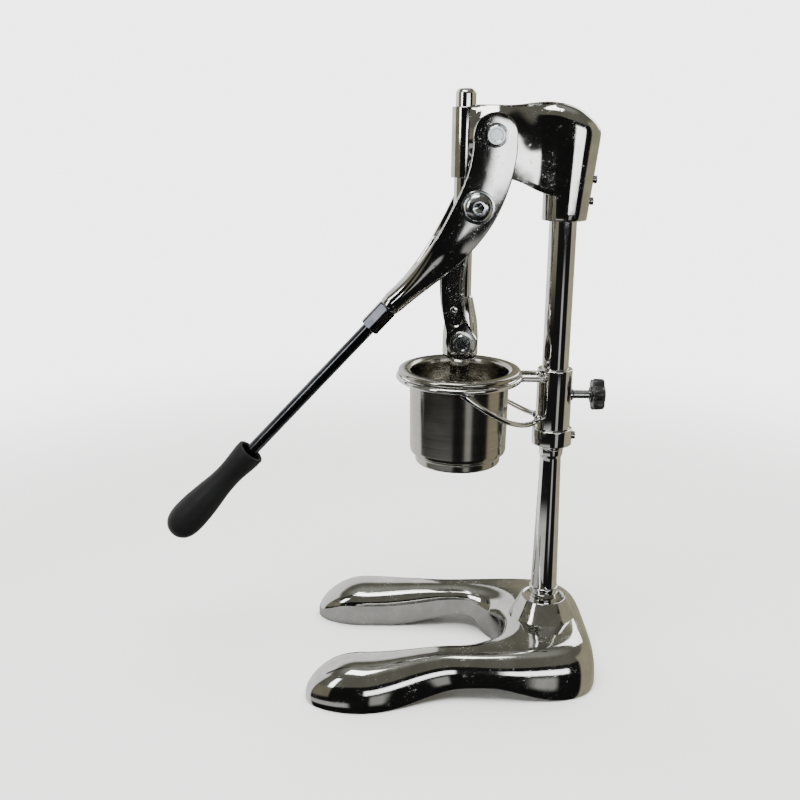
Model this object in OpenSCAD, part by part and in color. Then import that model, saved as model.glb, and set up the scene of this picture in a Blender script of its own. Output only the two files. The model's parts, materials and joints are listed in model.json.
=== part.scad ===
// Lever press juicer: a stainless press cup in a wire holder, a plunger on a
// guided rod, and a forked lever that drives the rod through two curved links.
// Millimetres. The origin is on the counter, straight below the press rod.
// +Z is up, -Y is the front, where the lever points, and +X is the right side.

/* [Stand] */
// press rod axis to column axis
column_reach = 90.5; // [84:0.5:105]
// counter to the crown of the head casting
head_top = 541; // [500:1:580]
// width of the base over its two front tips
base_width = 220; // [190:1:250]
// press rod axis to the front of the base tips
base_front = 144; // [130:1:170]
// column axis to the back of the base
base_back = 47.5; // [40:0.5:60]
// clear width between the two legs
leg_gap = 104; // [98:1:116]
// leg thickness from counter to ridge
leg_height = 44; // [36:1:52]
// rise of the arch under each leg
leg_arch = 14; // [8:1:18]
// diameter of the boss that takes the post
boss_d = 45; // [42:1:52]
// counter to the top of the boss
boss_top = 67; // [62:1:74]

/* [Column] */
// outside diameter of the upper tube
tube_d = 25; // [24:0.5:28]
// wall of the upper tube
tube_wall = 2.1; // [1.6:0.1:3]
// counter to the bottom end of the upper tube
tube_bottom = 225.5; // [215:0.5:232]
// diameter of the post at its foot
post_foot_d = 26; // [25:0.5:30]
// diameter of the post at its waist, under the tube
post_waist_d = 20; // [18:0.5:22]
// outside diameter of the ring on the post foot
foot_ring_d = 28.5; // [27:0.5:34]
// diameter of the bolt that holds the post to the base
post_bolt_d = 12; // [10:1:14]
// wall of the stop collar
collar_wall = 6.5; // [4:0.5:9]
// height of the stop collar
collar_height = 16; // [12:1:20]

/* [Head] */
// wall of the barrel round the tube
barrel_wall = 6.75; // [5:0.25:10]
// counter to the bottom of the barrel
barrel_bottom = 442; // [430:1:450]
// outside diameter of the rod guide
guide_d = 24; // [23:0.5:25]
// counter to the bottom of the rod guide
guide_bottom = 479; // [475:1:485]
// width of the head casting behind the rod guide
head_width = 40; // [36:1:41]
// rise of the crown over the side edges of the head
head_crown = 10; // [4:1:14]
// lean of the back of the head, bottom to top
head_lean = 8.5; // [3:0.5:11]
// diameter of the flared pad round the lever pivot
pivot_pad_d = 35; // [30:0.5:38]
// diameter of the two set screws at the back
set_screw_d = 6; // [5:1:8]

/* [Linkage] */
// counter to the lever pivot
pivot_height = 516; // [505:1:522]
// lever pivot behind the press rod axis
pivot_setback = 24.5; // [22:0.5:27]
// lever pivot to link pivot
crank_length = 62.5; // [58:0.5:66]
// link pivot ahead of straight down, degrees
crank_lead = 12.5; // [10:0.5:16]
// length of the links between their pivots
link_length = 123.5; // [118:0.5:130]
// bow of the links towards the front
link_bow = 14; // [8:1:18]
// width of the link shank
link_width = 21; // [18:0.5:24]
// thickness of each link
link_thick = 5.5; // [4.5:0.1:6]
// room between each link and its fork plate
link_play = 2.2; // [1.6:0.1:3]
// radius of the link eyes
link_eye_r = 14; // [12:0.5:15]
// diameter of the lever and hub pivot bolts
pivot_bolt_d = 10; // [8:1:10]
// width of a pivot bolt head across its flats
pivot_hex = 16; // [15:0.5:19]

/* [Lever] */
// thickness of each fork plate
plate_thick = 7; // [6:0.5:8]
// width of the fork plates at the pivots
plate_width = 38.5; // [34:0.5:42]
// lever below level at rest, degrees
lever_angle = 47; // [44:0.5:50]
// lever pivot forward to the neck
neck_forward = 88; // [82:1:94]
// lever pivot down to the neck
neck_drop = 151; // [145:1:158]
// diameter of the fork neck
neck_d = 21; // [19:0.5:24]
// coupling nut across its flats
neck_hex = 18; // [17:0.5:20]
// diameter of the lever rod
lever_rod_d = 12; // [10:0.5:13]
// neck to the start of the hand grip
grip_start = 200; // [180:1:220]
// length of the hand grip
grip_length = 118; // [110:1:130]
// diameter of the hand grip at its bulge
grip_d = 34; // [30:0.5:38]
// diameter of the button heads on the link screws
link_screw_head_d = 26; // [20:0.5:28]

/* [Press rod] */
// diameter of the press rod
rod_d = 18; // [16:0.5:19]
// counter to the top of the press rod
rod_top = 555; // [545:1:565]
// diameter of the rod hub
hub_d = 33; // [30:0.5:35]
// width of the hub across its two flats
hub_flats = 26; // [24:0.5:26.5]
// room round the plunger inside the cup
plunger_play = 1.8; // [0.8:0.1:4]
// thickness of the plunger rim
plunger_thick = 12; // [8:1:14]
// plunger to strainer at rest
plunger_gap = 35; // [32:1:40]

/* [Cup] */
// outside diameter of the cup body
cup_d = 94; // [90:0.5:96]
// reach of the rolled lip past the cup body
lip_reach = 11; // [8:0.5:14]
// counter to the top of the lip
cup_top = 303.5; // [298:0.5:310]
// counter to the bottom of the cup body
cup_bottom = 222; // [216:1:228]
// thickness of the cup wall
cup_wall = 1.2; // [1:0.1:1.5]
// step in from the cup body to the bottom ring
ring_step = 5; // [3:0.5:8]
// height of the bottom ring
bottom_ring_h = 10; // [8:1:12]
// strainer hole diameter
strainer_hole_d = 5; // [3:0.5:6]

/* [Holder] */
// diameter of the holder wire
wire_d = 5; // [4:0.5:6]
// wall of the sleeve with its running gap
sleeve_wall = 4; // [3:0.5:6]
// height of the sleeve
sleeve_height = 58; // [50:1:62]
// diameter over the lobes of the knob
knob_d = 32; // [28:1:36]
// thickness of the knob
knob_thick = 14; // [12:1:18]
// diameter of the knob stud
stud_d = 8; // [6:1:10]
// sleeve to knob
stud_reach = 17.5; // [14:0.5:22]

/* [Hidden] */
eps = 0.01;
curve = 96;
fine = 48;
wire_sides = 16;
run_gap = 0.05;
part_gap = 0.3;
screw_clear = 0.6;

column_y = column_reach;
tube_r = tube_d / 2;
tube_in_r = tube_r - tube_wall;
collar_r = tube_r + collar_wall;
rod_r = rod_d / 2;
bolt_r = pivot_bolt_d / 2;

// linkage points, each [y, z]
pivot_p = [pivot_setback, pivot_height];
crank_p = pivot_p + crank_length * [-sin(crank_lead), -cos(crank_lead)];
hub_z = crank_p[1] - sqrt(pow(link_length, 2) - pow(crank_p[0], 2));
link_lean = asin(crank_p[0] / link_length);

// stack across the linkage, from the middle outwards
hub_half = hub_flats / 2;
link_in = hub_half + part_gap;
link_out = link_in + link_thick;
plate_in = link_out + link_play;
plate_out = plate_in + plate_thick;
shim_thick = plate_in - head_width / 2 - part_gap;
washer_thick = 1.6;
washer_r = bolt_r + 5.5;
bolt_head_h = 6.4;
nut_h = 8;
bolt_tail = 2.5;
socket_d = 8.7;
socket_depth = 4.5;

// lever
neck_p = pivot_p + [-neck_forward, -neck_drop];
lever_dir = [-cos(lever_angle), -sin(lever_angle)];
nut_start = 6;
nut_length = 26;
rod_into_neck = 22;
rod_into_grip = 70;
rod_grip_r = lever_rod_d / 2;

// head
head_half = head_width / 2;
guide_half = guide_d / 2 - 0.2;
barrel_r = tube_r + barrel_wall;
tube_top = head_top - 22;
guide_top = head_top - 1.5;
screw_zs = [barrel_bottom + 17, barrel_bottom + 36];
slab_front = column_y - barrel_r / 2;
slab_r = max(head_half, barrel_r + 1);
slab_mid = column_y + barrel_r + 1.5 - slab_r;
head_fall = 25;
pad_r = pivot_pad_d / 2;

// base
tip_half = 29;
waist_half = 18;
tip_y = -92;
tip_x = base_width / 2 - tip_half;
gap_half = leg_gap / 2;
waist_x = gap_half + waist_half;
rear_half = waist_x + waist_half;
rear_swell = 2.5;
rear_y = column_y + base_back;
gap_depth = 48;
rear_height = leg_height + 4.5;
bolt_recess_r = post_bolt_d + 2.5;
bolt_recess_h = 20;
foot_neck_r = post_foot_d / 2 - 1;
foot_ring_z = boss_top + 4.5;
foot_ring_h = 7;
post_socket_r = 10;
post_socket_z = boss_top - 25;
tube_plug = 40;

// holder and cup
wire_r = wire_d / 2;
lip_bead_r = 2.5;
cup_r = cup_d / 2;
lip_r = cup_r + lip_reach;
lip_z = cup_top - lip_bead_r;
ring_r = lip_r - lip_bead_r + 2;
ring_z = lip_z - lip_bead_r - wire_r - part_gap;
sleeve_r = tube_r + sleeve_wall;
sleeve_bottom = tube_bottom + 20.3;
sleeve_top = sleeve_bottom + sleeve_height;
collar_top = sleeve_bottom - part_gap;
arm_x = 12;
stud_z = sleeve_bottom + 32.5;
stud_r = stud_d / 2;
knob_y = column_y + sleeve_r + stud_reach;
cup_in_r = cup_r - cup_wall;
strainer_thick = 1.5;
strainer_z = cup_bottom + cup_wall;
strainer_r = cup_in_r - 0.5;
plunger_r = cup_in_r - plunger_play;
foot_r = cup_r - ring_step;
plunger_bottom = strainer_z + strainer_thick + plunger_gap;

chrome_c = [0.80, 0.80, 0.80];
steel_c = [0.72, 0.72, 0.70];
zinc_c = [0.66, 0.68, 0.70];
black_c = [0.05, 0.05, 0.05];

// ---- shared shapes

function clamp01(v) = max(0, min(1, v));
function smooth(v) = let (c = clamp01(v)) c * c * (3 - 2 * c);
function mix(a, b, t) = a + (b - a) * t;
function norm2(v) = v / norm(v);

// solid through a list of closed sections with equal point counts
module loft(secs) {
  n = len(secs[0]);
  m = len(secs);
  pts = [for (s = secs) for (p = s) p];
  sides = [for (i = [0:m - 2]) for (j = [0:n - 1]) let (
    a = i * n + j, b = i * n + (j + 1) % n, c = a + n, d = b + n)
    each [[a, b, d], [a, d, c]]];
  cap_a = [for (j = [1:n - 2]) [0, j + 1, j]];
  cap_b = [for (j = [1:n - 2]) let (o = (m - 1) * n) [o, o + j, o + j + 1]];
  polyhedron(points = pts, faces = concat(sides, cap_a, cap_b), convexity = 6);
}

// cylinder along X between two x values
module bar_x(x0, x1, r, sides = fine) {
  translate([x0, 0, 0])
    rotate([0, 90, 0])
      cylinder(h = x1 - x0, r = r, $fn = sides);
}

// hexagon along X, one corner facing up
module hex_x(x0, x1, flats) {
  translate([x0, 0, 0])
    rotate([0, 90, 0])
      cylinder(h = x1 - x0, r = flats / sqrt(3), $fn = 6);
}

// put children on a [y, z] point
module at_yz(p) {
  translate([0, p[0], p[1]])
    children();
}

// put children on the lever axis: local +Z runs from the neck to the grip
module on_lever(t) {
  at_yz(neck_p + t * lever_dir)
    rotate([180 - (90 - lever_angle), 0, 0])
      children();
}

// wire along a list of points
module wire(path, r) {
  m = len(path);
  secs = [for (i = [0:m - 1]) let (
    d = norm2(path[min(m - 1, i + 1)] - path[max(0, i - 1)]),
    u = norm2(cross(d, [0, 0, 1])),
    v = cross(u, d))
    [for (k = [0:wire_sides - 1]) let (a = 360 * k / wire_sides)
      path[i] + r * cos(a) * u + r * sin(a) * v]];
  loft(secs);
}

function curve3(a, b, c, t) = mix(mix(a, b, t), mix(b, c, t), t);

// ---- base

function arch(t) = let (k = t < 20 ? (20 - t) / 95 : (t - 20) / 33)
  leg_arch * pow(cos(90 * clamp01(k)), 2);

function base_section(a, b, low, high, crown, count = 18) = concat(
  [[a[0], a[1], low]],
  [for (i = [0:count]) let (
    s = -cos(180 * i / count), w = (1 + s) / 2,
    z = low + 5 + (high - low - 5) * pow(max(0, 1 - pow(abs(s), crown)), 1 / 2.4))
    [mix(a[0], b[0], w), mix(a[1], b[1], w), z]],
  [[b[0], b[1], low]]);

function leg_half(y) = y > tip_y
  ? mix(waist_half, tip_half, smooth(y / tip_y))
  : tip_half * sqrt(max(0.001, 1 - pow((y - tip_y) / (base_front + tip_y), 2)));
function leg_x(y) = mix(waist_x, tip_x, smooth(y / tip_y));
function leg_top(y) = y > tip_y
  ? mix(leg_height + 1, leg_height - 3, smooth(y / tip_y))
  : 8 + (leg_height - 11) * pow(max(0, 1 - pow((y - tip_y) / (base_front + tip_y), 2)), 0.7);
function leg_section(side, y) = let (x = leg_x(y), w = leg_half(y)) side > 0
  ? base_section([x - w, y], [x + w, y], arch(y), leg_top(y), 2.6)
  : base_section([-x + w, y], [-x - w, y], arch(y), leg_top(y), 2.6);

function inner_r(a) = 1 / sqrt(pow(cos(a) / gap_half, 2) + pow(sin(a) / gap_depth, 2));
function outer_x(a) = rear_half + rear_swell * smooth(min(a, 180 - a) / 45);
function outer_r(a) = 1 / pow(pow(abs(cos(a)) / outer_x(a), 5) + pow(sin(a) / rear_y, 5), 0.2);
function rear_section(a) = let (d = [cos(a), sin(a)], t = a < 90 ? a : 180 - a)
  base_section(inner_r(a) * d, outer_r(a) * d, arch(t),
    mix(leg_height + 1, rear_height, smooth(t / 75)), mix(2.6, 6, smooth((t - 20) / 60)));

// stations along a leg, close together round its tip
leg_ys = concat([for (a = [82:-12:10]) tip_y - (base_front + tip_y) * sin(a)],
  [for (k = [0:6]) tip_y * (1 - k / 7)]);

module base_casting() {
  color(chrome_c)
    difference() {
      union() {
        loft(concat(
          [for (y = leg_ys) leg_section(-1, y)],
          [for (k = [24:-1:0]) rear_section(k * 7.5)],
          [for (i = [len(leg_ys) - 1:-1:0]) leg_section(1, leg_ys[i])]));
        translate([0, column_y, 0])
          rotate_extrude($fn = curve)
            polygon([[0, 10], [boss_d / 2 + 17, 10], [boss_d / 2 + 15, 37],
              [boss_d / 2 + 12, 43], [boss_d / 2 + 9.6, 47], [boss_d / 2 + 8.2, 51],
              [boss_d / 2 + 4.4, 58], [boss_d / 2, boss_top - 1.4],
              [boss_d / 2 - 0.8, boss_top], [0, boss_top]]);
      }
      translate([0, column_y, post_socket_z])
        cylinder(h = boss_top, r = post_socket_r, $fn = fine);
      translate([0, column_y, -eps])
        cylinder(h = boss_top, r = post_bolt_d / 2 + 0.5, $fn = fine);
      translate([0, column_y, -eps])
        cylinder(h = bolt_recess_h + eps, r = bolt_recess_r, $fn = fine);
    }
}

module post_bolt() {
  head_z = bolt_recess_h - 2.5;
  color(zinc_c)
    translate([0, column_y, 0]) {
      translate([0, 0, head_z - 8])
        cylinder(h = 8, r = 19 / sqrt(3), $fn = 6);
      translate([0, 0, head_z - eps])
        cylinder(h = post_socket_z + 30 - head_z, r = post_bolt_d / 2, $fn = fine);
    }
}

module post_washer() {
  color(zinc_c)
    translate([0, column_y, bolt_recess_h - 2.5])
      difference() {
        cylinder(h = 2.5, r = post_bolt_d, $fn = fine);
        translate([0, 0, -1])
          cylinder(h = 5, r = post_bolt_d / 2 + 0.5, $fn = fine);
      }
}

// ---- column

module lower_post() {
  top = tube_bottom;
  color(chrome_c)
    translate([0, column_y, 0])
      difference() {
        rotate_extrude($fn = curve)
          polygon([[0, post_socket_z], [post_socket_r, post_socket_z],
            [post_socket_r, boss_top], [foot_neck_r, boss_top],
            [foot_neck_r, foot_ring_z + foot_ring_h],
            [post_foot_d / 2, foot_ring_z + foot_ring_h],
            [post_waist_d / 2, top - 11], [post_waist_d / 2 + 0.6, top - 8],
            [tube_r - 0.6, top - 2], [tube_r - 0.6, top],
            [tube_in_r, top], [tube_in_r, top + tube_plug - 1],
            [tube_in_r - 1, top + tube_plug], [0, top + tube_plug]]);
        translate([0, 0, post_socket_z - eps])
          cylinder(h = 34, r = post_bolt_d / 2, $fn = fine);
      }
}

module foot_ring() {
  color(chrome_c)
    translate([0, column_y, foot_ring_z])
      rotate_extrude($fn = curve)
        polygon([[foot_neck_r, 0], [foot_ring_d / 2 - 1, 0], [foot_ring_d / 2, 1],
          [foot_ring_d / 2, foot_ring_h - 1], [foot_ring_d / 2 - 1, foot_ring_h],
          [foot_neck_r, foot_ring_h]]);
}

module upper_tube() {
  color(chrome_c)
    translate([0, column_y, tube_bottom])
      difference() {
        cylinder(h = tube_top - tube_bottom, r = tube_r, $fn = curve);
        translate([0, 0, -1])
          cylinder(h = tube_top - tube_bottom + 2, r = tube_in_r, $fn = curve);
      }
}

module stop_collar() {
  color(chrome_c)
    translate([0, column_y, collar_top - collar_height])
      difference() {
        rotate_extrude($fn = curve)
          polygon([[tube_r, 0], [collar_r - 1.2, 0], [collar_r, 1.2],
            [collar_r, collar_height - 1.2], [collar_r - 1.2, collar_height],
            [tube_r, collar_height]]);
        translate([0, 0, collar_height / 2])
          rotate([-90, 0, 0])
            cylinder(h = 2 * collar_r, r = 2.5, $fn = 32);
      }
}

// socket screw along +Y with its tip on the tube
module tube_screw(z, r, end_y, head_r, head_h) {
  translate([0, column_y, z])
    rotate([-90, 0, 0])
      difference() {
        union() {
          translate([0, 0, tube_r])
            cylinder(h = end_y - tube_r + eps, r = r, $fn = 32);
          translate([0, 0, end_y])
            cylinder(h = head_h, r = head_r, $fn = 32);
        }
        translate([0, 0, end_y + head_h - 2])
          cylinder(h = 3, r = head_r * 0.55, $fn = 6);
      }
}

module collar_screw() {
  color(zinc_c)
    tube_screw(collar_top - collar_height / 2, 2.5, collar_r + 0.2, 3.8, 2.8);
}

// ---- head

// the web grows from the rod guide to the slab round the column
function head_side(y) = y < 20 ? guide_half
  : mix(guide_half + 0.6, slab_r - 0.6, smooth((y - 30) / (slab_front - 26)));
function head_low(y) = guide_bottom - 15 * smooth((y - 34) / (slab_front - 34));
function head_edge(y) = head_top
  - head_fall * pow(clamp01((y - 20) / (slab_mid + slab_r + head_lean - 20)), 2.8);
function head_rise(y, half) = 0.4 + head_crown * smooth((y - 35) / 50) * half / slab_r;

// closed outline across the head, leaning back by the given amount at its top
function head_section(y, half, low, lean = 0, count = 14) = let (
  top_y = y + lean, side_top = head_edge(top_y) - 5, foot = min(2, half / 2),
  rise = 5 + head_rise(top_y, half))
  [for (p = concat(
    [for (i = [0:count]) let (s = cos(180 * i / count))
      [half * s, side_top + rise * pow(max(0, 1 - pow(abs(s), 3)), 1 / 2.2)]],
    [[-half, low + foot], [-half + foot, low], [half - foot, low], [half, low + foot]]))
    [p[0], y + lean * (p[1] - barrel_bottom) / (head_edge(top_y) - barrel_bottom), p[1]]];

module head_casting() {
  web_ys = [-2, 8, 19.9, 24, 30, 38, 46, 54, 62, 70, slab_front - 0.05];
  slab_angles = [0, 15, 30, 45, 57, 68, 77, 84, 88];
  color(chrome_c)
    difference() {
      union() {
        loft(concat(
          [for (y = web_ys) head_section(y, head_side(y), head_low(y))],
          [for (f = [0, 0.5]) let (y = mix(slab_front, slab_mid, f))
            head_section(y, mix(slab_r - 0.3, slab_r, f), barrel_bottom, head_lean * f / 3)],
          [for (a = slab_angles) let (y = slab_mid + slab_r * sin(a))
            head_section(y, slab_r * cos(a), barrel_bottom,
              head_lean * mix(1 / 3, 1, sin(a)))]));
        at_yz(pivot_p)
          for (side = [-1, 1])
            rotate([0, 90 * side, 0])
              rotate_extrude($fn = curve)
                polygon([[0, 0], [pad_r + 7, 0], [pad_r + 7, guide_half], [pad_r + 4, guide_half + 1.6],
                  [pad_r + 1.6, head_half - 3], [pad_r, head_half - 1], [pad_r - 1, head_half],
                  [0, head_half]]);
        translate([0, 0, guide_bottom])
          cylinder(h = guide_top - guide_bottom, r = guide_d / 2, $fn = curve);
        translate([0, column_y, barrel_bottom])
          cylinder(h = tube_top - 14 - barrel_bottom, r = barrel_r, $fn = curve);
      }
      translate([0, 0, guide_bottom - 5])
        cylinder(h = head_top, r = rod_r + run_gap, $fn = curve);
      translate([0, column_y, barrel_bottom - 1])
        cylinder(h = tube_top - barrel_bottom + 1, r = tube_r, $fn = curve);
      at_yz(pivot_p)
        bar_x(-head_half - 1, head_half + 1, bolt_r, fine);
      for (z = screw_zs)
        translate([0, column_y, z])
          rotate([-90, 0, 0])
            cylinder(h = 2 * barrel_r, r = set_screw_d / 2, $fn = 32);
    }
}

module head_set_screws() {
  color(zinc_c)
    for (z = screw_zs)
      tube_screw(z, set_screw_d / 2, slab_mid + slab_r - column_y + screw_clear
        + head_lean * (z - barrel_bottom) / (head_top - head_fall - barrel_bottom),
        set_screw_d / 2 + 0.5, 2.4);
}

// ---- pivots

// washers in front of the given face, on both sides
module washer_pair(face, thick, r, hole) {
  for (side = [-1, 1])
    difference() {
      bar_x(side > 0 ? face : -face - thick, side > 0 ? face + thick : -face, r);
      bar_x(-face - 9, face + 9, hole);
    }
}

module through_bolt(face) {
  start = face + washer_thick;
  bar_x(-start - nut_h - bolt_tail, start + eps, bolt_r);
  intersection() {
    hex_x(start, start + bolt_head_h, pivot_hex);
    translate([start, 0, 0])
      rotate([0, 90, 0])
        cylinder(h = bolt_head_h, r1 = pivot_hex * 0.75, r2 = pivot_hex * 0.52, $fn = fine);
  }
}

module through_nut(face) {
  start = face + washer_thick;
  difference() {
    hex_x(-start - nut_h, -start, pivot_hex);
    bar_x(-start - nut_h - 1, -start + 1, bolt_r);
  }
}

lever_face = plate_out + part_gap;
hub_face = link_out + part_gap;

module pivot_bolt() {
  color(zinc_c)
    at_yz(pivot_p)
      through_bolt(lever_face);
}

module pivot_nut() {
  color(zinc_c)
    at_yz(pivot_p)
      through_nut(lever_face);
}

module pivot_washers() {
  color(zinc_c)
    at_yz(pivot_p)
      washer_pair(lever_face, washer_thick, washer_r, bolt_r);
}

module pivot_shims() {
  color(zinc_c)
    at_yz(pivot_p)
      washer_pair(head_half, shim_thick, washer_r, bolt_r);
}

module hub_bolt() {
  color(zinc_c)
    at_yz([0, hub_z])
      through_bolt(hub_face);
}

module hub_nut() {
  color(zinc_c)
    at_yz([0, hub_z])
      through_nut(hub_face);
}

module hub_washers() {
  color(zinc_c)
    at_yz([0, hub_z])
      washer_pair(hub_face, washer_thick, washer_r, bolt_r);
}

// ---- lever

// fork centre line from the lever pivot, then its half width and its faces: the plates
// stay apart over the links and close on the neck
function fork_point(t) = curve3([0, 0], [4, -0.46 * neck_drop], [-neck_forward, -neck_drop], t);
function fork_half(t) = mix(plate_width / 2, neck_d / 2, smooth((t - 0.42) / 0.55));
function fork_front_in(t) = mix(plate_in, -1, smooth((t - 0.6) / 0.3));
function fork_back_in(t) = mix(plate_in, -1, smooth((t - 0.75) / 0.18));
function fork_out(t) = mix(plate_out, neck_d / 2, smooth((t - 0.62) / 0.42));

function fork_section(side, t) = let (
  p = pivot_p + fork_point(t),
  d = norm2(fork_point(min(1, t + 0.02)) - fork_point(max(0, t - 0.02))),
  n = [d[1], -d[0]],
  w = fork_half(t), xf = fork_front_in(t), xb = fork_back_in(t), xo = fork_out(t),
  c = mix(1.2, neck_d * 0.3, smooth((t - 0.5) / 0.5)),
  outline = [[xf, w - 0.6], [xb, w * 0.1], [xb, -w + 0.6], [xb + 0.6, -w], [xo - c, -w],
    [xo - c * 0.3, -w + c * 0.3], [xo, -w + c], [xo, w - c],
    [xo - c * 0.3, w - c * 0.3], [xo - c, w], [xf + 0.6, w]])
  [for (i = [0:10]) let (q = outline[side > 0 ? i : 10 - i])
    [side * q[0], p[0] + q[1] * n[0], p[1] + q[1] * n[1]]];

module handle_fork() {
  steps = 32;
  color(chrome_c)
    difference() {
      union() {
        for (side = [-1, 1]) {
          loft([for (i = [steps:-1:0]) fork_section(side, i / steps)]);
          at_yz(pivot_p)
            bar_x(side > 0 ? plate_in : -plate_out, side > 0 ? plate_out : -plate_in,
              plate_width / 2, curve);
        }
        on_lever(-8)
          cylinder(h = 8 + nut_start, r = neck_d / 2 - 1, $fn = fine);
      }
      at_yz(pivot_p)
        bar_x(-plate_out - 1, plate_out + 1, bolt_r + run_gap);
      at_yz(crank_p)
        bar_x(-plate_out - 1, plate_out + 1, bolt_r);
      on_lever(-rod_into_neck)
        cylinder(h = rod_into_neck + nut_start + 2, r = rod_grip_r, $fn = fine);
    }
}

module link_screws() {
  head_r = link_screw_head_d / 2;
  dome = 0.27 * link_screw_head_d;
  face = plate_out + washer_thick;
  color(zinc_c)
    at_yz(crank_p)
      for (side = [-1, 1])
        mirror([side > 0 ? 0 : 1, 0, 0])
          difference() {
            union() {
              bar_x(plate_in, face + eps, bolt_r);
              translate([face, 0, 0])
                rotate([0, 90, 0])
                  rotate_extrude($fn = fine)
                    polygon(concat([[0, 0], [head_r - 0.4, 0]],
                      [for (a = [0:10:60]) [head_r * cos(a), 0.4 + (dome - 0.4) * sin(a) / sin(60)]],
                      [[0, dome]]));
            }
            translate([face + dome - socket_depth, 0, 0])
              rotate([0, 90, 0])
                cylinder(h = socket_depth + 1, r = socket_d / sqrt(3), $fn = 6);
          }
}

module link_screw_washers() {
  color(zinc_c)
    at_yz(crank_p)
      washer_pair(plate_out, washer_thick, link_screw_head_d / 2 + 1.8, bolt_r);
}

module neck_nut() {
  color(zinc_c)
    on_lever(nut_start)
      difference() {
        intersection() {
          cylinder(h = nut_length, r = neck_hex / sqrt(3), $fn = 6);
          rotate_extrude($fn = fine)
            polygon([[0, 0], [neck_hex / 2, 0], [neck_hex / 2 + 1.6, 1.6],
              [neck_hex / 2 + 1.6, nut_length - 1.6], [neck_hex / 2, nut_length],
              [0, nut_length]]);
        }
        translate([0, 0, -1])
          cylinder(h = nut_length + 2, r = rod_grip_r, $fn = fine);
      }
}

module lever_rod() {
  color(chrome_c)
    on_lever(-rod_into_neck)
      cylinder(h = rod_into_neck + grip_start + rod_into_grip, r = rod_grip_r, $fn = fine);
}

module hand_grip() {
  mouth_r = grip_d / 2 - 3.5;
  waist_r = grip_d / 2 - 5;
  bulge_r = grip_d / 2;
  long = grip_length;
  color(black_c)
    on_lever(grip_start)
      difference() {
        rotate_extrude($fn = curve)
          polygon(concat([[0, 0], [mouth_r - 1, 0]],
            [for (i = [0:16]) let (u = i / 16)
              [u < 0.25 ? mix(mouth_r, waist_r, smooth(u / 0.25))
                : mix(waist_r, bulge_r, smooth((u - 0.25) / 0.45)), 1.5 + u * (long - 22)]],
            [for (a = [10:10:90])
              [bulge_r * cos(a), long - 20.5 + 20.5 * sin(a)]]));
        translate([0, 0, -1])
          cylinder(h = 8, r = mouth_r - 3, $fn = fine);
        translate([0, 0, -1])
          cylinder(h = rod_into_grip + 1, r = rod_grip_r, $fn = fine);
      }
}

// ---- links

// link outline in its own plane: hub eye at the origin, crank eye up +Y
module link_band(half, trim) {
  bow_r = (pow(link_length / 2, 2) + pow(link_bow, 2)) / (2 * link_bow);
  span = asin(link_length / 2 / bow_r) - trim;
  translate([bow_r - link_bow, link_length / 2])
    intersection() {
      difference() {
        circle(r = bow_r + half, $fn = 180);
        circle(r = bow_r - half, $fn = 180);
      }
      polygon([[0, 0], [-300 * cos(span), 300 * sin(span)], [-300, 0],
        [-300 * cos(span), -300 * sin(span)]]);
    }
}

module link(side) {
  mid = (link_in + link_out) / 2;
  panel = 1.6;
  at_yz([0, hub_z])
    rotate([-link_lean, 0, 0])
      difference() {
        translate([side * mid, 0, 0])
          rotate([90, 0, 90])
            difference() {
              linear_extrude(height = link_thick, center = true)
                union() {
                  link_band(link_width / 2, 0);
                  circle(r = link_eye_r, $fn = curve);
                  translate([0, link_length])
                    circle(r = link_eye_r, $fn = curve);
                }
              for (face = [-1, 1])
                translate([0, 0, face * (link_thick / 2 + 1 - panel)])
                  linear_extrude(height = 2, center = true)
                    link_band(link_width / 2 - 4, 9);
            }
        bar_x(-link_out - 1, link_out + 1, bolt_r + run_gap);
        translate([0, 0, link_length])
          bar_x(-link_out - 1, link_out + 1, bolt_r);
      }
}

module link_near() {
  color(chrome_c)
    link(1);
}

module link_far() {
  color(chrome_c)
    link(-1);
}

module link_pins() {
  color(zinc_c)
    at_yz(crank_p)
      for (side = [-1, 1])
        bar_x(side > 0 ? link_in : -plate_in + part_gap,
          side > 0 ? plate_in - part_gap : -link_in, bolt_r);
}

// ---- press rod

module press_rod() {
  color(chrome_c)
    difference() {
      rotate_extrude($fn = curve)
        polygon(concat([[0, plunger_bottom + 4], [rod_r, plunger_bottom + 4]],
          [for (a = [0:15:90])
            [rod_r - 5 + 5 * cos(a), rod_top - 4 + 4 * sin(a)]], [[0, rod_top]]));
      at_yz([0, hub_z])
        bar_x(-rod_d, rod_d, bolt_r);
      translate([0, 0, plunger_bottom])
        cylinder(h = 24, r = 4, $fn = fine);
    }
}

module rod_hub() {
  color(chrome_c)
    difference() {
      translate([0, 0, hub_z - 17])
        rotate_extrude($fn = curve)
          polygon([[rod_r, 0], [hub_d / 2 - 2, 0], [hub_d / 2, 2], [hub_d / 2, 16],
            [hub_d / 2 - 1.6, 24], [hub_d / 2 - 4.6, 33], [rod_r + 1.6, 40],
            [rod_r + 0.6, 41], [rod_r, 41]]);
      for (side = [-1, 1])
        translate([side * (hub_half + 20), 0, hub_z])
          cube([40, 80, 90], center = true);
      at_yz([0, hub_z])
        bar_x(-hub_d, hub_d, bolt_r);
    }
}

module plunger_disc() {
  r = plunger_r;
  color(steel_c)
    translate([0, 0, plunger_bottom])
      difference() {
        rotate_extrude($fn = curve)
          polygon([[0, 0], [r - 1, 0], [r, 1], [r, plunger_thick - 1],
            [r - 1, plunger_thick], [r - 4, plunger_thick], [r - 6, 5],
            [rod_r + 9, 5], [rod_r + 5, plunger_thick], [0, plunger_thick]]);
        translate([0, 0, 4])
          cylinder(h = plunger_thick, r = rod_r, $fn = fine);
        translate([0, 0, -1])
          cylinder(h = 8, r = 4.2, $fn = fine);
      }
}

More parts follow.
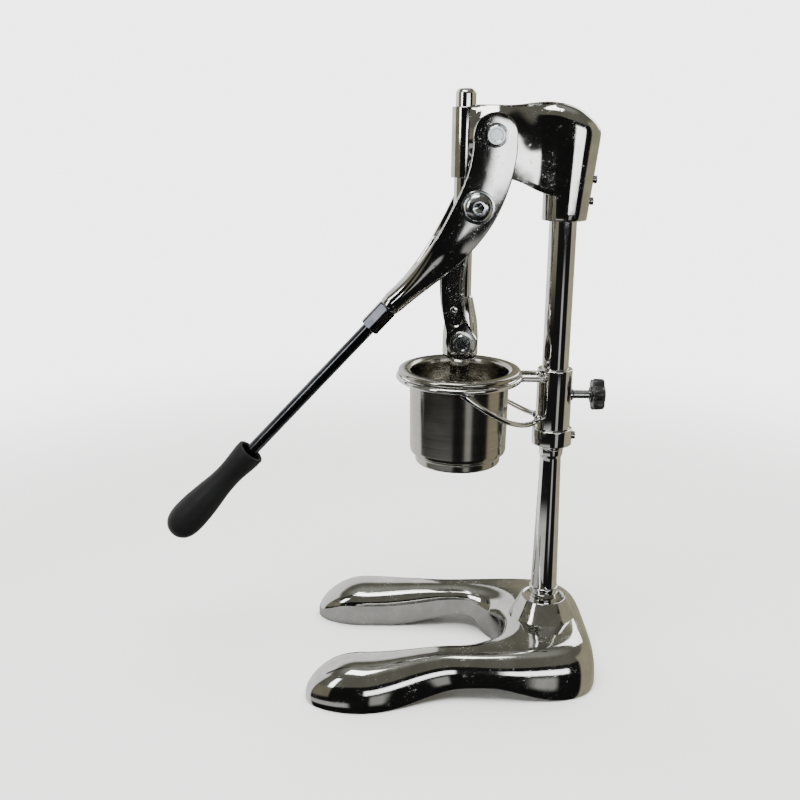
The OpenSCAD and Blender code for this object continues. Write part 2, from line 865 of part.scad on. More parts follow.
module plunger_screw() {
  color(zinc_c)
    translate([0, 0, plunger_bottom]) {
      cylinder(h = 22, r = 4, $fn = fine);
      translate([0, 0, -4])
        cylinder(h = 4 + eps, r = 7, $fn = fine);
    }
}

// ---- holder

module holder_sleeve() {
  color(chrome_c)
    translate([0, column_y, sleeve_bottom])
      difference() {
        rotate_extrude($fn = curve)
          polygon([[tube_r + run_gap, 0], [sleeve_r - 1, 0], [sleeve_r, 1],
            [sleeve_r, sleeve_height - 1], [sleeve_r - 1, sleeve_height],
            [tube_r + run_gap, sleeve_height]]);
        translate([0, 0, stud_z - sleeve_bottom])
          rotate([-90, 0, 0])
            cylinder(h = 2 * sleeve_r, r = stud_r + run_gap, $fn = fine);
      }
}

module holder_ring() {
  color(chrome_c)
    translate([0, 0, ring_z])
      rotate_extrude($fn = curve)
        translate([ring_r, 0])
          circle(r = wire_r, $fn = 32);
}

module holder_arms() {
  start = sqrt(pow(ring_r, 2) - pow(arm_x, 2));
  end = column_y - sqrt(pow(sleeve_r, 2) - pow(arm_x, 2)) + 1;
  color(chrome_c)
    for (side = [-1, 1])
      translate([side * arm_x, start, ring_z])
        rotate([-90, 0, 0])
          cylinder(h = end - start, r = wire_r, $fn = 32);
}

module holder_braces() {
  steps = 18;
  color(chrome_c)
    for (side = [-1, 1])
      wire([for (i = [0:steps]) curve3(
        [side * ring_r, -1, ring_z - wire_r + 0.6],
        [side * (ring_r - 4), 52, sleeve_bottom + 4.5],
        [side * 7, column_y - sleeve_r + 2.4, sleeve_bottom + 10], i / steps)], wire_r);
}

module knob_head() {
  lobes = 6;
  notch_r = 5.5;
  core_r = knob_d / 2 - 4;
  color(black_c)
    translate([0, knob_y, stud_z])
      rotate([-90, 0, 0])
        difference() {
          union() {
            translate([0, 0, 1.5])
              linear_extrude(height = knob_thick - 3)
                difference() {
                  circle(r = knob_d / 2, $fn = curve);
                  for (k = [0:lobes - 1])
                    rotate(360 * (k + 0.5) / lobes)
                      translate([knob_d / 2 + 2, 0])
                        circle(r = notch_r, $fn = fine);
                }
            cylinder(h = 4, r = stud_r + 3.5, $fn = fine);
            cylinder(h = knob_thick, r = core_r - 3, $fn = fine);
          }
          translate([0, 0, -1])
            cylinder(h = knob_thick - 3, r = stud_r, $fn = fine);
        }
}

module knob_stud() {
  color(zinc_c)
    translate([0, column_y + tube_r + 0.1, stud_z])
      rotate([-90, 0, 0])
        cylinder(h = knob_y + knob_thick - 4 - column_y - tube_r - 0.1, r = stud_r, $fn = fine);
}

// ---- cup

module cup() {
  bead_x = lip_r - lip_bead_r;
  flange = lip_z + lip_bead_r - cup_wall;
  color(steel_c)
    rotate_extrude($fn = curve)
      difference() {
        union() {
          polygon([[foot_r - 5, cup_bottom], [foot_r + 1, cup_bottom],
            [cup_r - 1.2, cup_bottom + 1], [cup_r - 0.6, cup_bottom + 2.2],
            [cup_r, flange - 3], [cup_r + 0.8, flange - 0.8], [cup_r + 3, flange],
            [bead_x, flange], [bead_x, flange + cup_wall], [cup_r + 1, flange + cup_wall],
            [cup_in_r + 0.2, flange - 1], [cup_in_r, flange - 4],
            [cup_in_r - 0.5, cup_bottom + cup_wall + 1.4],
            [cup_in_r - 0.5, cup_bottom + cup_wall], [foot_r - 5, cup_bottom + cup_wall]]);
          translate([bead_x, lip_z])
            circle(r = lip_bead_r, $fn = 32);
        }
        translate([bead_x, lip_z])
          circle(r = lip_bead_r - cup_wall, $fn = 32);
      }
}

module strainer_plate() {
  rings = [[0, 1], [11, 6], [22, 12], [33, 18]];
  color(steel_c)
    translate([0, 0, strainer_z])
      difference() {
        cylinder(h = strainer_thick, r = strainer_r - 0.3, $fn = curve);
        for (g = rings)
          for (k = [0:g[1] - 1])
            rotate([0, 0, 360 * k / g[1]])
              translate([g[0], 0, -1])
                cylinder(h = strainer_thick + 2, r = strainer_hole_d / 2, $fn = 20);
      }
}

module bottom_ring() {
  r = foot_r;
  color(steel_c)
    translate([0, 0, cup_bottom - bottom_ring_h])
      rotate_extrude($fn = curve)
        polygon([[r - 5, 0.6], [r - 4.4, 0], [r - 2, 0], [r - 1.4, 1],
          [r - 1.2, bottom_ring_h - 3], [r, bottom_ring_h - 2], [r, bottom_ring_h],
          [r - 5, bottom_ring_h]]);
}

base_casting();
post_bolt();
post_washer();
lower_post();
foot_ring();
upper_tube();
head_casting();
head_set_screws();
stop_collar();
collar_screw();
pivot_bolt();
pivot_nut();
pivot_washers();
pivot_shims();
handle_fork();
neck_nut();
lever_rod();
hand_grip();
link_screws();
link_screw_washers();
link_near();
link_far();
link_pins();
press_rod();
rod_hub();
hub_bolt();
hub_nut();
hub_washers();
plunger_disc();
plunger_screw();
holder_sleeve();
holder_ring();
holder_arms();
holder_braces();
knob_head();
knob_stud();
cup();
strainer_plate();
bottom_ring();
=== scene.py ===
import bpy
import bmesh
import json
from math import atan2, cos, pi, radians, sin, sqrt, tan
from mathutils import Matrix, Vector


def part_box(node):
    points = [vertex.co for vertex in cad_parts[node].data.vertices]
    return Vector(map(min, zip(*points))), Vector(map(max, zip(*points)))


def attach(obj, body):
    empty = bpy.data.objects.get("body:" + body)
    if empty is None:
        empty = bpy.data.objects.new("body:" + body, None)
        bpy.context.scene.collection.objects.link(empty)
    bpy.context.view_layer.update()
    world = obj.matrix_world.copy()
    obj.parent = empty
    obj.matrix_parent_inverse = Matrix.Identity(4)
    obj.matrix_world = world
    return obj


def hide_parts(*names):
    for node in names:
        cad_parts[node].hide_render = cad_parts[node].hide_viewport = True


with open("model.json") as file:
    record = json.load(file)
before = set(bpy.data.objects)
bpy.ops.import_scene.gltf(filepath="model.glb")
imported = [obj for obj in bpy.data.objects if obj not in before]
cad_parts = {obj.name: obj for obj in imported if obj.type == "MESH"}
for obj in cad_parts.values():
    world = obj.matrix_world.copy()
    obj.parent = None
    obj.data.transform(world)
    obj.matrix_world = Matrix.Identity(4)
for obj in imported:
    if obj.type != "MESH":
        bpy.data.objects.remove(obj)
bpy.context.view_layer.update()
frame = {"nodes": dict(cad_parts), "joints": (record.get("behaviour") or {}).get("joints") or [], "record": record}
cadNodes = frame["nodes"]
joints = {j["name"]: j for j in frame["joints"]}
print("frame loaded:", len(cadNodes), "nodes")


# places taken from the frame
def low(node):
    return Vector(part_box(node)[0])


def high(node):
    return Vector(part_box(node)[1])


def middle(node):
    return (low(node) + high(node)) / 2


def linked(name, data):
    item = bpy.data.objects.new(name, data)
    bpy.context.scene.collection.objects.link(item)
    return item


mm = 0.001
pivotAt = Vector(joints["lever_pivot"]["pos_m"])
hubAt = Vector(joints["link_swing"]["pos_m"])
columnAt = middle("upper_tube").y
crankAt = middle("link_screws")
knobAt = middle("knob_stud")


# camera
cameraLook = {
    "place": Vector((879, -56, 530)) * mm,
    "down": 16.4,  # degrees below level
    "roll": 0.4,
    "lens": 43.2,
}


def addCamera(look):
    camera = bpy.data.cameras.new("camera")
    camera.lens = look["lens"]
    camera.sensor_width = 36
    camera.clip_start = 0.01
    camera.clip_end = 50
    item = linked("camera", camera)
    tilt, roll = radians(look["down"]), radians(look["roll"])
    side = Vector((0, 1, 0))
    up = Vector((-sin(tilt), 0, cos(tilt)))
    back = Vector((cos(tilt), 0, sin(tilt)))
    right = side * cos(roll) + up * sin(roll)
    top = up * cos(roll) - side * sin(roll)
    turn = Matrix((right, top, back)).transposed()
    item.matrix_world = Matrix.Translation(look["place"]) @ turn.to_4x4()
    bpy.context.scene.camera = item


addCamera(cameraLook)
print("camera placed")


# shader maths written as expressions
class Value:
    def __init__(self, finish, socket):
        self.finish = finish
        self.socket = socket

    def math(self, operation, *others, swap=False):
        values = [self, *others]
        if swap:
            values.reverse()
        return self.finish.node("ShaderNodeMath", {"operation": operation}, dict(enumerate(values)))

    def __add__(self, other):
        return self.math("ADD", other)

    def __mul__(self, other):
        return self.math("MULTIPLY", other)

    def __sub__(self, other):
        return self.math("SUBTRACT", other)

    def __rsub__(self, other):
        return self.math("SUBTRACT", other, swap=True)

    def clipped(self, start, end):
        return self.finish.node(
            "ShaderNodeMapRange", {"interpolation_type": "SMOOTHSTEP"},
            {0: self, 1: start, 2: end, 3: 0.0, 4: 1.0})

    __radd__ = __add__
    __rmul__ = __mul__


class Finish:

    def __init__(self, owner):
        owner.use_nodes = True
        self.owner = owner
        self.tree = owner.node_tree
        self.tree.nodes.clear()

    def node(self, kind, settings=None, inputs=None, out=0):
        made = self.tree.nodes.new(kind)
        for name, value in (settings or {}).items():
            setattr(made, name, value)
        for name, value in (inputs or {}).items():
            if isinstance(value, Value):
                self.tree.links.new(value.socket, made.inputs[name])
            else:
                made.inputs[name].default_value = value
        return Value(self, made.outputs[out]) if len(made.outputs) else made

    def place(self):
        return self.node("ShaderNodeTexCoord", out=3)

    def stretched(self, scale, turn=(0, 0, 0)):
        return self.node("ShaderNodeMapping", {}, {
            "Vector": self.place(), "Scale": scale, "Rotation": turn})

    def noise(self, where, scale, detail=2.0, rough=0.5):
        return self.node("ShaderNodeTexNoise", {}, {
            "Vector": where, "Scale": scale, "Detail": detail, "Roughness": rough})

    def blend(self, factor, first, second):
        return self.node("ShaderNodeMix", {"data_type": "RGBA"}, {
            0: factor, 6: first if isinstance(first, Value) else tint(first),
            7: second if isinstance(second, Value) else tint(second)}, out=2)

    def bump(self, height, strength, distance, under=None):
        inputs = {"Height": height, "Strength": strength, "Distance": distance}
        if under:
            inputs["Normal"] = under
        return self.node("ShaderNodeBump", {}, inputs)

    def surface(self, inputs):
        shade = self.node("ShaderNodeBsdfPrincipled", {}, inputs)
        self.node("ShaderNodeOutputMaterial", {}, {"Surface": shade})
        return self.owner


def newFinish(name):
    return Finish(bpy.data.materials.new(name))


def tint(colour):
    return tuple(colour) if len(colour) == 4 else (*colour, 1.0)


# finishes
castingLook = {"dark": (0.50, 0.495, 0.48), "light": (0.63, 0.625, 0.605), "shine": 0.065}
chromeLook = {"dark": (0.66, 0.66, 0.655), "light": (0.78, 0.78, 0.77), "shine": 0.035}
steelLook = {"dark": (0.38, 0.365, 0.33), "light": (0.47, 0.455, 0.42), "shine": 0.13}
zincLook = {"dark": (0.38, 0.40, 0.42), "light": (0.64, 0.67, 0.69), "shine": 0.13}


def polishedCasting():
    make = newFinish("polished casting")
    place = make.place()
    waves = make.noise(place, 26, 2.0, 0.45)  # hand polishing leaves a slow ripple
    cloud = make.noise(place, 60, 4.0, 0.6)
    scuffs = make.noise(make.stretched((900, 260, 420), (0.4, 0.2, 0.9)), 1.0, 3.0, 0.65)
    pits = make.noise(place, 700, 2.0, 0.5)
    scuffMask = scuffs.clipped(0.57, 0.70) * cloud.clipped(0.44, 0.62)
    pitMask = pits.clipped(0.70, 0.76)
    colour = make.blend(cloud.clipped(0.3, 0.75), castingLook["dark"], castingLook["light"])
    rough = castingLook["shine"] + cloud.clipped(0.4, 0.8) * 0.05 + scuffMask * 0.32 + pitMask * 0.15
    grain = make.noise(make.stretched((1500, 700, 1900)), 1.0, 3.0, 0.6)
    bend = make.bump(waves, 0.17, 0.0014)
    bend = make.bump(scuffMask * 0.5 + pitMask * -0.8 + grain * 0.22, 0.11, 0.0001, bend)
    return make.surface({"Base Color": colour, "Metallic": 1.0, "Roughness": rough, "Normal": bend})


def brightChrome():
    make = newFinish("bright chrome")
    place = make.place()
    cloud = make.noise(place, 45, 4.0, 0.6)
    lines = make.noise(make.stretched((160, 160, 2400)), 1.0, 2.0, 0.5)
    specks = make.noise(place, 900, 2.0, 0.5)
    speckMask = specks.clipped(0.72, 0.78)
    colour = make.blend(cloud.clipped(0.3, 0.7), chromeLook["dark"], chromeLook["light"])
    rough = chromeLook["shine"] + cloud.clipped(0.45, 0.8) * 0.05 + speckMask * 0.15
    bend = make.bump(lines * 0.6 + speckMask * -0.5, 0.05, 0.00008)
    return make.surface({"Base Color": colour, "Metallic": 1.0, "Roughness": rough, "Normal": bend})


def darkChrome():
    make = newFinish("dark chrome")
    place = make.place()
    cloud = make.noise(place, 55, 4.0, 0.6)
    rub = make.noise(make.stretched((500, 500, 90)), 1.0, 3.0, 0.6).clipped(0.6, 0.75)
    colour = make.blend(cloud.clipped(0.3, 0.7), (0.05, 0.052, 0.06), (0.10, 0.10, 0.11))
    rough = 0.16 + cloud.clipped(0.4, 0.8) * 0.10 + rub * 0.15
    return make.surface({"Base Color": colour, "Metallic": 1.0, "Roughness": rough,
                         "Normal": make.bump(cloud, 0.1, 0.0003)})


def spunSteel():
    make = newFinish("spun stainless")
    place = make.place()
    cloud = make.noise(place, 38, 4.0, 0.6)
    rings = make.noise(make.stretched((6, 6, 1500)), 1.0, 4.0, 0.7)
    fine = make.noise(make.stretched((10, 10, 5000)), 1.0, 2.0, 0.6)
    colour = make.blend(rings.clipped(0.3, 0.7), steelLook["dark"], steelLook["light"])
    rough = steelLook["shine"] + rings.clipped(0.3, 0.7) * 0.05 + cloud.clipped(0.4, 0.8) * 0.04
    bend = make.bump(rings * 0.5 + fine * 0.5, 0.07, 0.00002)
    return make.surface({"Base Color": colour, "Metallic": 1.0, "Roughness": rough, "Normal": bend})


def zincPlate():
    make = newFinish("zinc plate")
    place = make.place()
    spangle = make.node("ShaderNodeTexVoronoi", {}, {"Vector": place, "Scale": 620}, out=1)
    cloud = make.noise(place, 90, 4.0, 0.55)
    colour = make.blend(cloud.clipped(0.3, 0.7), zincLook["dark"], zincLook["light"])
    rough = zincLook["shine"] + cloud.clipped(0.35, 0.75) * 0.13
    bend = make.bump(cloud, 0.05, 0.0002)
    colour = make.blend(0.08, colour, spangle)
    return make.surface({"Base Color": colour, "Metallic": 1.0, "Roughness": rough, "Normal": bend})


def gripRubber():
    make = newFinish("grip rubber")
    place = make.place()
    grain = make.noise(place, 1500, 3.0, 0.6)
    cloud = make.noise(place, 50, 3.0, 0.5)
    dust = make.noise(place, 420, 4.0, 0.7)
    dustMask = dust.clipped(0.60, 0.75) * cloud.clipped(0.4, 0.7)
    colour = make.blend(dustMask * 0.5, (0.006, 0.006, 0.0065), (0.03, 0.03, 0.029))
    rough = 0.48 + cloud.clipped(0.3, 0.8) * 0.14
    return make.surface({"Base Color": colour, "Roughness": rough, "Specular IOR Level": 0.28,
                         "Normal": make.bump(grain, 0.22, 0.0002)})


def knobPlastic():
    make = newFinish("knob plastic")
    place = make.place()
    grain = make.noise(place, 1100, 3.0, 0.6)
    cloud = make.noise(place, 120, 3.0, 0.5)
    colour = make.blend(cloud.clipped(0.3, 0.8), (0.008, 0.008, 0.009), (0.02, 0.02, 0.021))
    rough = 0.26 + cloud.clipped(0.3, 0.8) * 0.16
    return make.surface({"Base Color": colour, "Roughness": rough,
                         "Normal": make.bump(grain, 0.12, 0.0001)})


def weldMetal():
    make = newFinish("plated weld")
    place = make.place()
    lumps = make.noise(place, 420, 2.0, 0.5)
    cloud = make.noise(place, 160, 3.0, 0.6)
    colour = make.blend(cloud.clipped(0.3, 0.7), (0.42, 0.42, 0.41), (0.66, 0.66, 0.65))
    rough = 0.10 + cloud.clipped(0.35, 0.75) * 0.2
    return make.surface({"Base Color": colour, "Metallic": 1.0, "Roughness": rough,
                         "Normal": make.bump(lumps, 0.5, 0.0012)})


finishes = {
    "polished_casting": polishedCasting(),
    "chrome": brightChrome(),
    "dark": darkChrome(),
    "stainless": spunSteel(),
    "zinc": zincPlate(),
    "black_grip": gripRubber(),
    "black_knob": knobPlastic(),
    "weld": weldMetal(),
}
slotOf = {s["node"]: s["material_slot"] for s in frame["record"]["subparts"]}
for nodeName, item in cadNodes.items():
    item.data.materials.clear()
    item.data.materials.append(finishes[slotOf[nodeName]])
print("finishes made:", len(finishes))


# mesh helpers
def meshOf(name, bm):
    mesh = bpy.data.meshes.new(name)
    bm.to_mesh(mesh)
    bm.free()
    return mesh


def cleaned(bm):
    bmesh.ops.remove_doubles(bm, verts=bm.verts, dist=2e-6)
    bmesh.ops.recalc_face_normals(bm, faces=bm.faces)
    return bm


def newPiece(name, bm, slot, body, replaced=(), sharp=32, finish=None):
    return placePiece(name, meshOf(name, cleaned(bm)), slot, body, replaced, sharp, finish)


def placePiece(name, mesh, slot, body, replaced, sharp, finish=None):
    for face in mesh.polygons:
        face.use_smooth = True
    mesh.set_sharp_from_angle(angle=radians(sharp))
    item = linked(name, mesh)
    mesh.materials.clear()
    mesh.materials.append(finishes[finish or slot])
    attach(item, body)
    if replaced:
        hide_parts(*replaced)
    return item


def spare(bm):
    # a helper solid for a cut or a join, gone again once it is used
    return linked("spare", meshOf("spare", cleaned(bm)))


def combined(start, steps):
    # steps are (solid, "UNION" or "DIFFERENCE") in order
    for tool, operation in steps:
        change = start.modifiers.new("shape", "BOOLEAN")
        change.operation = operation
        change.solver = "EXACT"
        change.object = tool
    graph = bpy.context.evaluated_depsgraph_get()
    mesh = bpy.data.meshes.new_from_object(start.evaluated_get(graph))
    for item in [start] + [tool for tool, _ in steps]:
        spent = item.data
        bpy.data.objects.remove(item)
        bpy.data.meshes.remove(spent)
    return mesh


def filleted(corners, steps=5):
    # corners are (radius, height, fillet) in order along the outline
    line = []
    for k, (r, h, fillet) in enumerate(corners):
        here = Vector((r, h))
        if not fillet or k in (0, len(corners) - 1):
            line.append(here)
            continue
        back = (Vector(corners[k - 1][:2]) - here)
        ahead = (Vector(corners[k + 1][:2]) - here)
        reach = min(fillet / tan(back.angle(ahead) / 2), back.length * 0.49, ahead.length * 0.49)
        start, end = here + back.normalized() * reach, here + ahead.normalized() * reach
        for i in range(steps + 1):
            t = i / steps
            line.append(start * (1 - t) ** 2 + here * 2 * t * (1 - t) + end * t ** 2)
    return line


def turned(bm, line, centre=(0, 0, 0), axis=(0, 0, 1), sides=96):
    # line holds (radius, height) pairs in mm, spun about an axis through centre
    axis, centre = Vector(axis), Vector(centre)
    across = Vector((0, 0, 1)) if abs(axis.z) < 0.5 else Vector((1, 0, 0))
    across = (across - axis * across.dot(axis)).normalized()
    verts = [bm.verts.new(centre + across * r * mm + axis * h * mm) for r, h in line]
    edges = [bm.edges.new(pair) for pair in zip(verts, verts[1:])]
    bmesh.ops.spin(bm, geom=verts + edges, cent=centre, axis=axis, angle=2 * pi, steps=sides,
                   use_merge=True, use_duplicate=False)


def turnedSpare(line, centre, axis=(0, 0, 1), sides=96):
    bm = bmesh.new()
    turned(bm, line, centre, axis, sides)
    return spare(bm)


def turnedPiece(name, corners, slot, body, replaced=(), centre=(0, 0, 0), axis=(0, 0, 1),
                sides=96, closed=False, steps=5, sharp=40, finish=None):
    bm = bmesh.new()
    turned(bm, filleted(corners + corners[:1] if closed else corners, steps), centre, axis, sides)
    return newPiece(name, bm, slot, body, replaced, sharp, finish)


def grown(bm, rings):
    # a closed outline extruded from ring to ring
    verts = [bm.verts.new(p) for p in rings[0]]
    bm.faces.new(verts)
    edges = [bm.edges.get(pair) for pair in zip(verts, verts[1:] + verts[:1])]
    for ring in rings[1:]:
        made = bmesh.ops.extrude_edge_only(bm, edges=edges)["geom"]
        fresh = {v for v in made if isinstance(v, bmesh.types.BMVert)}
        verts = [next(e.other_vert(v) for e in v.link_edges if e.other_vert(v) in fresh) for v in verts]
        for v, p in zip(verts, ring):
            v.co = p
        edges = [bm.edges.get(pair) for pair in zip(verts, verts[1:] + verts[:1])]
    bm.faces.new(verts)


def smooth(v, start=0.0, end=1.0):
    v = min(1.0, max(0.0, (v - start) / (end - start)))
    return v * v * (3 - 2 * v)


def mix(a, b, t):
    return a + (b - a) * t


# base casting, in millimetres like every size below
baseLook = {
    "tip": -92, "front": 144, "tipX": 81, "tipHalf": 29,
    "waistX": 70, "waistHalf": 18, "gap": 52, "depth": 48,
    "rearHalf": 88, "swell": 2.5, "back": 47.5,
    "ridge": 44, "plateau": 48.5, "arch": 14, "skirt": 19,
    "boss": 22.5, "bossTop": 67,
    "archPeak": 20, "archFront": 95, "archBack": 33,  # the arch under a leg, along its run
}


def archAt(look, t):
    peak = look["archPeak"]
    k = (peak - t) / look["archFront"] if t < peak else (t - peak) / look["archBack"]
    return look["arch"] * cos(pi / 2 * min(1, max(0, k))) ** 2


def baseRing(look, inner, outer, foot, top, dome, count=44):
    # a cut across the leg, from its inner foot over the ridge to its outer foot
    ring = []
    inner, outer = Vector(inner), Vector(outer)
    span = (outer - inner).length
    lift = foot + min(look["skirt"], (top - foot) * 0.55)
    inset = min(2.2, span * 0.05)

    def at(along, height):
        p = inner.lerp(outer, along / span)
        return Vector((p.x, p.y, height)) * mm

    ring += [at(inset, foot), at(inset * 0.3, foot + 0.5), at(0, foot + 1.6), at(0, foot + 4)]
    ring += [at(0, mix(foot + 4, lift, t)) for t in (0.33, 0.66)]
    outerLift = foot + 3.5
    for i in range(count + 1):
        s = -cos(pi * i / count)
        base = mix(lift, outerLift, smooth((1 + s) / 2))
        rise = max(0, 1 - abs(s) ** dome) ** (1 / 2.3)
        ring.append(at(span * (1 + s) / 2, base + (top - base) * rise))
    ring += [at(span - inset * 0.3, foot + 0.6), at(span - inset, foot)]
    return ring


def baseRings(look):
    y0, y1 = look["tip"], look["front"] + look["tip"]
    rings = []
    for a in range(88, 0, -4):  # the rounded tip
        bend = cos(radians(a))
        y = y0 - y1 * sin(radians(a))
        half = look["tipHalf"] * max(0.03, bend)
        top = 7 + (look["ridge"] - 10) * max(0.0, bend) ** 1.35
        foot = archAt(look, y)
        rings.append(((look["tipX"] - half, y), (look["tipX"] + half, y), foot, max(top, foot + 6), 2.5))
    for i in range(37):
        y = y0 * (1 - i / 36)
        k = smooth(y / y0)
        half = mix(look["waistHalf"], look["tipHalf"], k)
        x = mix(look["waistX"], look["tipX"], k)
        rings.append(((x - half, y), (x + half, y), archAt(look, y),
                      mix(look["ridge"] + 1, look["ridge"] - 3, k), 2.5))
    for i in range(1, 37):  # round the back, to the middle
        a = radians(i * 2.5)
        t = i * 2.5
        c, s = cos(a), sin(a)
        rIn = 1 / sqrt((c / look["gap"]) ** 2 + (s / look["depth"]) ** 2)
        wide = look["rearHalf"] + look["swell"] * smooth(t, 0, 45)
        rOut = 1 / ((c / wide) ** 5 + (s / (columnAt / mm + look["back"])) ** 5) ** 0.2
        top = mix(look["ridge"] + 1, look["plateau"], smooth(t, 0, 75))
        rings.append(((rIn * c, rIn * s), (rOut * c, rOut * s), archAt(look, t), top,
                      mix(2.5, 6, smooth(t, 20, 80))))
    return rings


def addBase(look):
    half = baseRings(look)
    mirrored = [((-a[0], a[1]), (-b[0], b[1]), *rest) for a, b, *rest in half[-2::-1]]
    bm = bmesh.new()
    grown(bm, [baseRing(look, *args) for args in half + mirrored])
    body = spare(bm)
    r, top = look["boss"], look["bossTop"]
    boss = turnedSpare(filleted([
        (0, 12, 0), (r + 15, 12, 0), (r + 14.5, 38, 0), (r + 10.5, 46.5, 5), (r + 8.2, 51, 5),
        (r + 4.2, 58, 12), (r - 0.2, top, 1.0), (r - 1.6, top, 0), (r - 2.2, top - 0.25, 0),
        (10, top - 0.25, 0), (10, top - 8, 0), (0, top - 8, 0)], 7), (0, columnAt, 0), sides=112)
    recess = turnedSpare(filleted([(0, -2, 0), (15.5, -2, 0), (14.5, 20, 1.5), (0, 20, 0)]),
                         (0, columnAt, 0), sides=48)
    mesh = combined(body, [(boss, "UNION"), (recess, "DIFFERENCE")])
    return placePiece("base", mesh, "polished_casting", "stand", ["base_casting"], 34)


addBase(baseLook)
print("base cast")

# column
columnLook = {
    "tube": 12.5, "bore": 10.4, "tubeLow": 225.5, "tubeHigh": 519,
    "footLow": 71.5, "footHigh": 78.5, "neck": 12, "foot": 13, "waist": 10, "footRing": 14.25,
    "collar": 19, "slip": 12.52, "collarLow": 229.5, "collarHigh": 245.5,
}


def addColumn(look):
    onColumn = (0, columnAt, 0)
    ringTop, top, waist, tube = look["footHigh"], look["tubeLow"], look["waist"], look["tube"]
    neck, bore, tubeTop = look["neck"], look["bore"], look["tubeHigh"]
    collar, start, end, slip = look["collar"], look["collarLow"], look["collarHigh"], look["slip"]
    turnedPiece("post", [(0, 60, 0), (9.9, 60, 0), (9.9, 67, 0), (neck, 67.1, 0.6), (neck, ringTop, 0.4),
                         (look["foot"], ringTop, 0.8), (waist, top - 12, 1.5), (waist + 0.1, top - 9.5, 0.3),
                         (tube - 1.2, top - 6.5, 1.4), (tube - 0.9, top - 0.8, 0.5),
                         (tube - 2.5, top - 0.3, 0), (0, top + 6, 0)],
                "chrome", "stand", ["lower_post"], onColumn)
    turnedPiece("post-ring", [(neck - 0.1, look["footLow"], 0), (look["footRing"], look["footLow"], 1.4),
                              (look["footRing"], ringTop, 1.4), (neck - 0.1, ringTop, 0)],
                "chrome", "stand", ["foot_ring"], onColumn, closed=True)
    turnedPiece("column-tube", [(bore, top, 0), (tube, top, 0.5), (tube, tubeTop, 0), (bore, tubeTop, 0)],
                "chrome", "stand", ["upper_tube"], onColumn, closed=True)
    turnedPiece("stop-collar", [(slip, start, 0), (collar, start, 1.1), (collar, end, 1.1), (slip, end, 0)],
                "chrome", "stand", ["stop_collar"], onColumn, closed=True)


addColumn(columnLook)

# head casting
headLook = {
    "top": 541, "guide": 11.8, "guideLow": 479, "barrelLow": 442, "barrel": 19.25,
    "side": 20.25, "crown": 10, "lean": 8.5, "fall": 25, "pad": 17.5, "padFace": 20,
}


def headEdge(look, y):
    back = columnAt / mm + look["barrel"] + 1.5 + look["lean"]
    return look["top"] - look["fall"] * min(1, max(0, (y - 20) / (back - 20))) ** 2.8


def padAt(look, y, z, x):
    # the casting swells round the lever pivot: steep in front of it, long and flat behind
    dy, dz = y - pivotAt.y / mm, z - pivotAt.z / mm
    away = sqrt(dy * dy + (dz * (0.42 if dz < 0 and dy > 0 else 1)) ** 2)
    slope = mix(0.95, 0.17, smooth(dy / max(away, 0.1), -0.35, 0.45))
    lift = look["padFace"] - max(0, away - look["pad"]) * slope
    return (x + lift + sqrt((x - lift) ** 2 + 0.6)) / 2 if away > look["pad"] else max(x, lift)


def headRing(look, y, half, foot, lean, count=30):
    topY = y + lean
    edge = headEdge(look, topY)
    sideTop = edge - 6
    rise = 6 + 0.4 + look["crown"] * smooth(topY, 35, 85) * half / look["side"]
    ring = []

    def at(x, z):
        yy = y + lean * (z - look["barrelLow"]) / (edge - look["barrelLow"])
        return Vector((x, yy, z)) * mm

    for i in range(count + 1):
        s = cos(pi * i / count)
        lift = max(0, 1 - abs(s) ** 2.8) ** (1 / 2.3)
        ring.append(at(half * s, sideTop + rise * lift))
    bevel = min(1.6, half / 2)
    side = [mix(sideTop, foot + bevel, k / 16) for k in range(1, 17)]
    ring += [at(-half, z) for z in side]
    ring += [at(-half + bevel * 0.3, foot + bevel * 0.3), at(-half + bevel, foot), at(half - bevel, foot),
             at(half - bevel * 0.3, foot + bevel * 0.3)]
    ring += [at(half, z) for z in reversed(side)]
    return ring


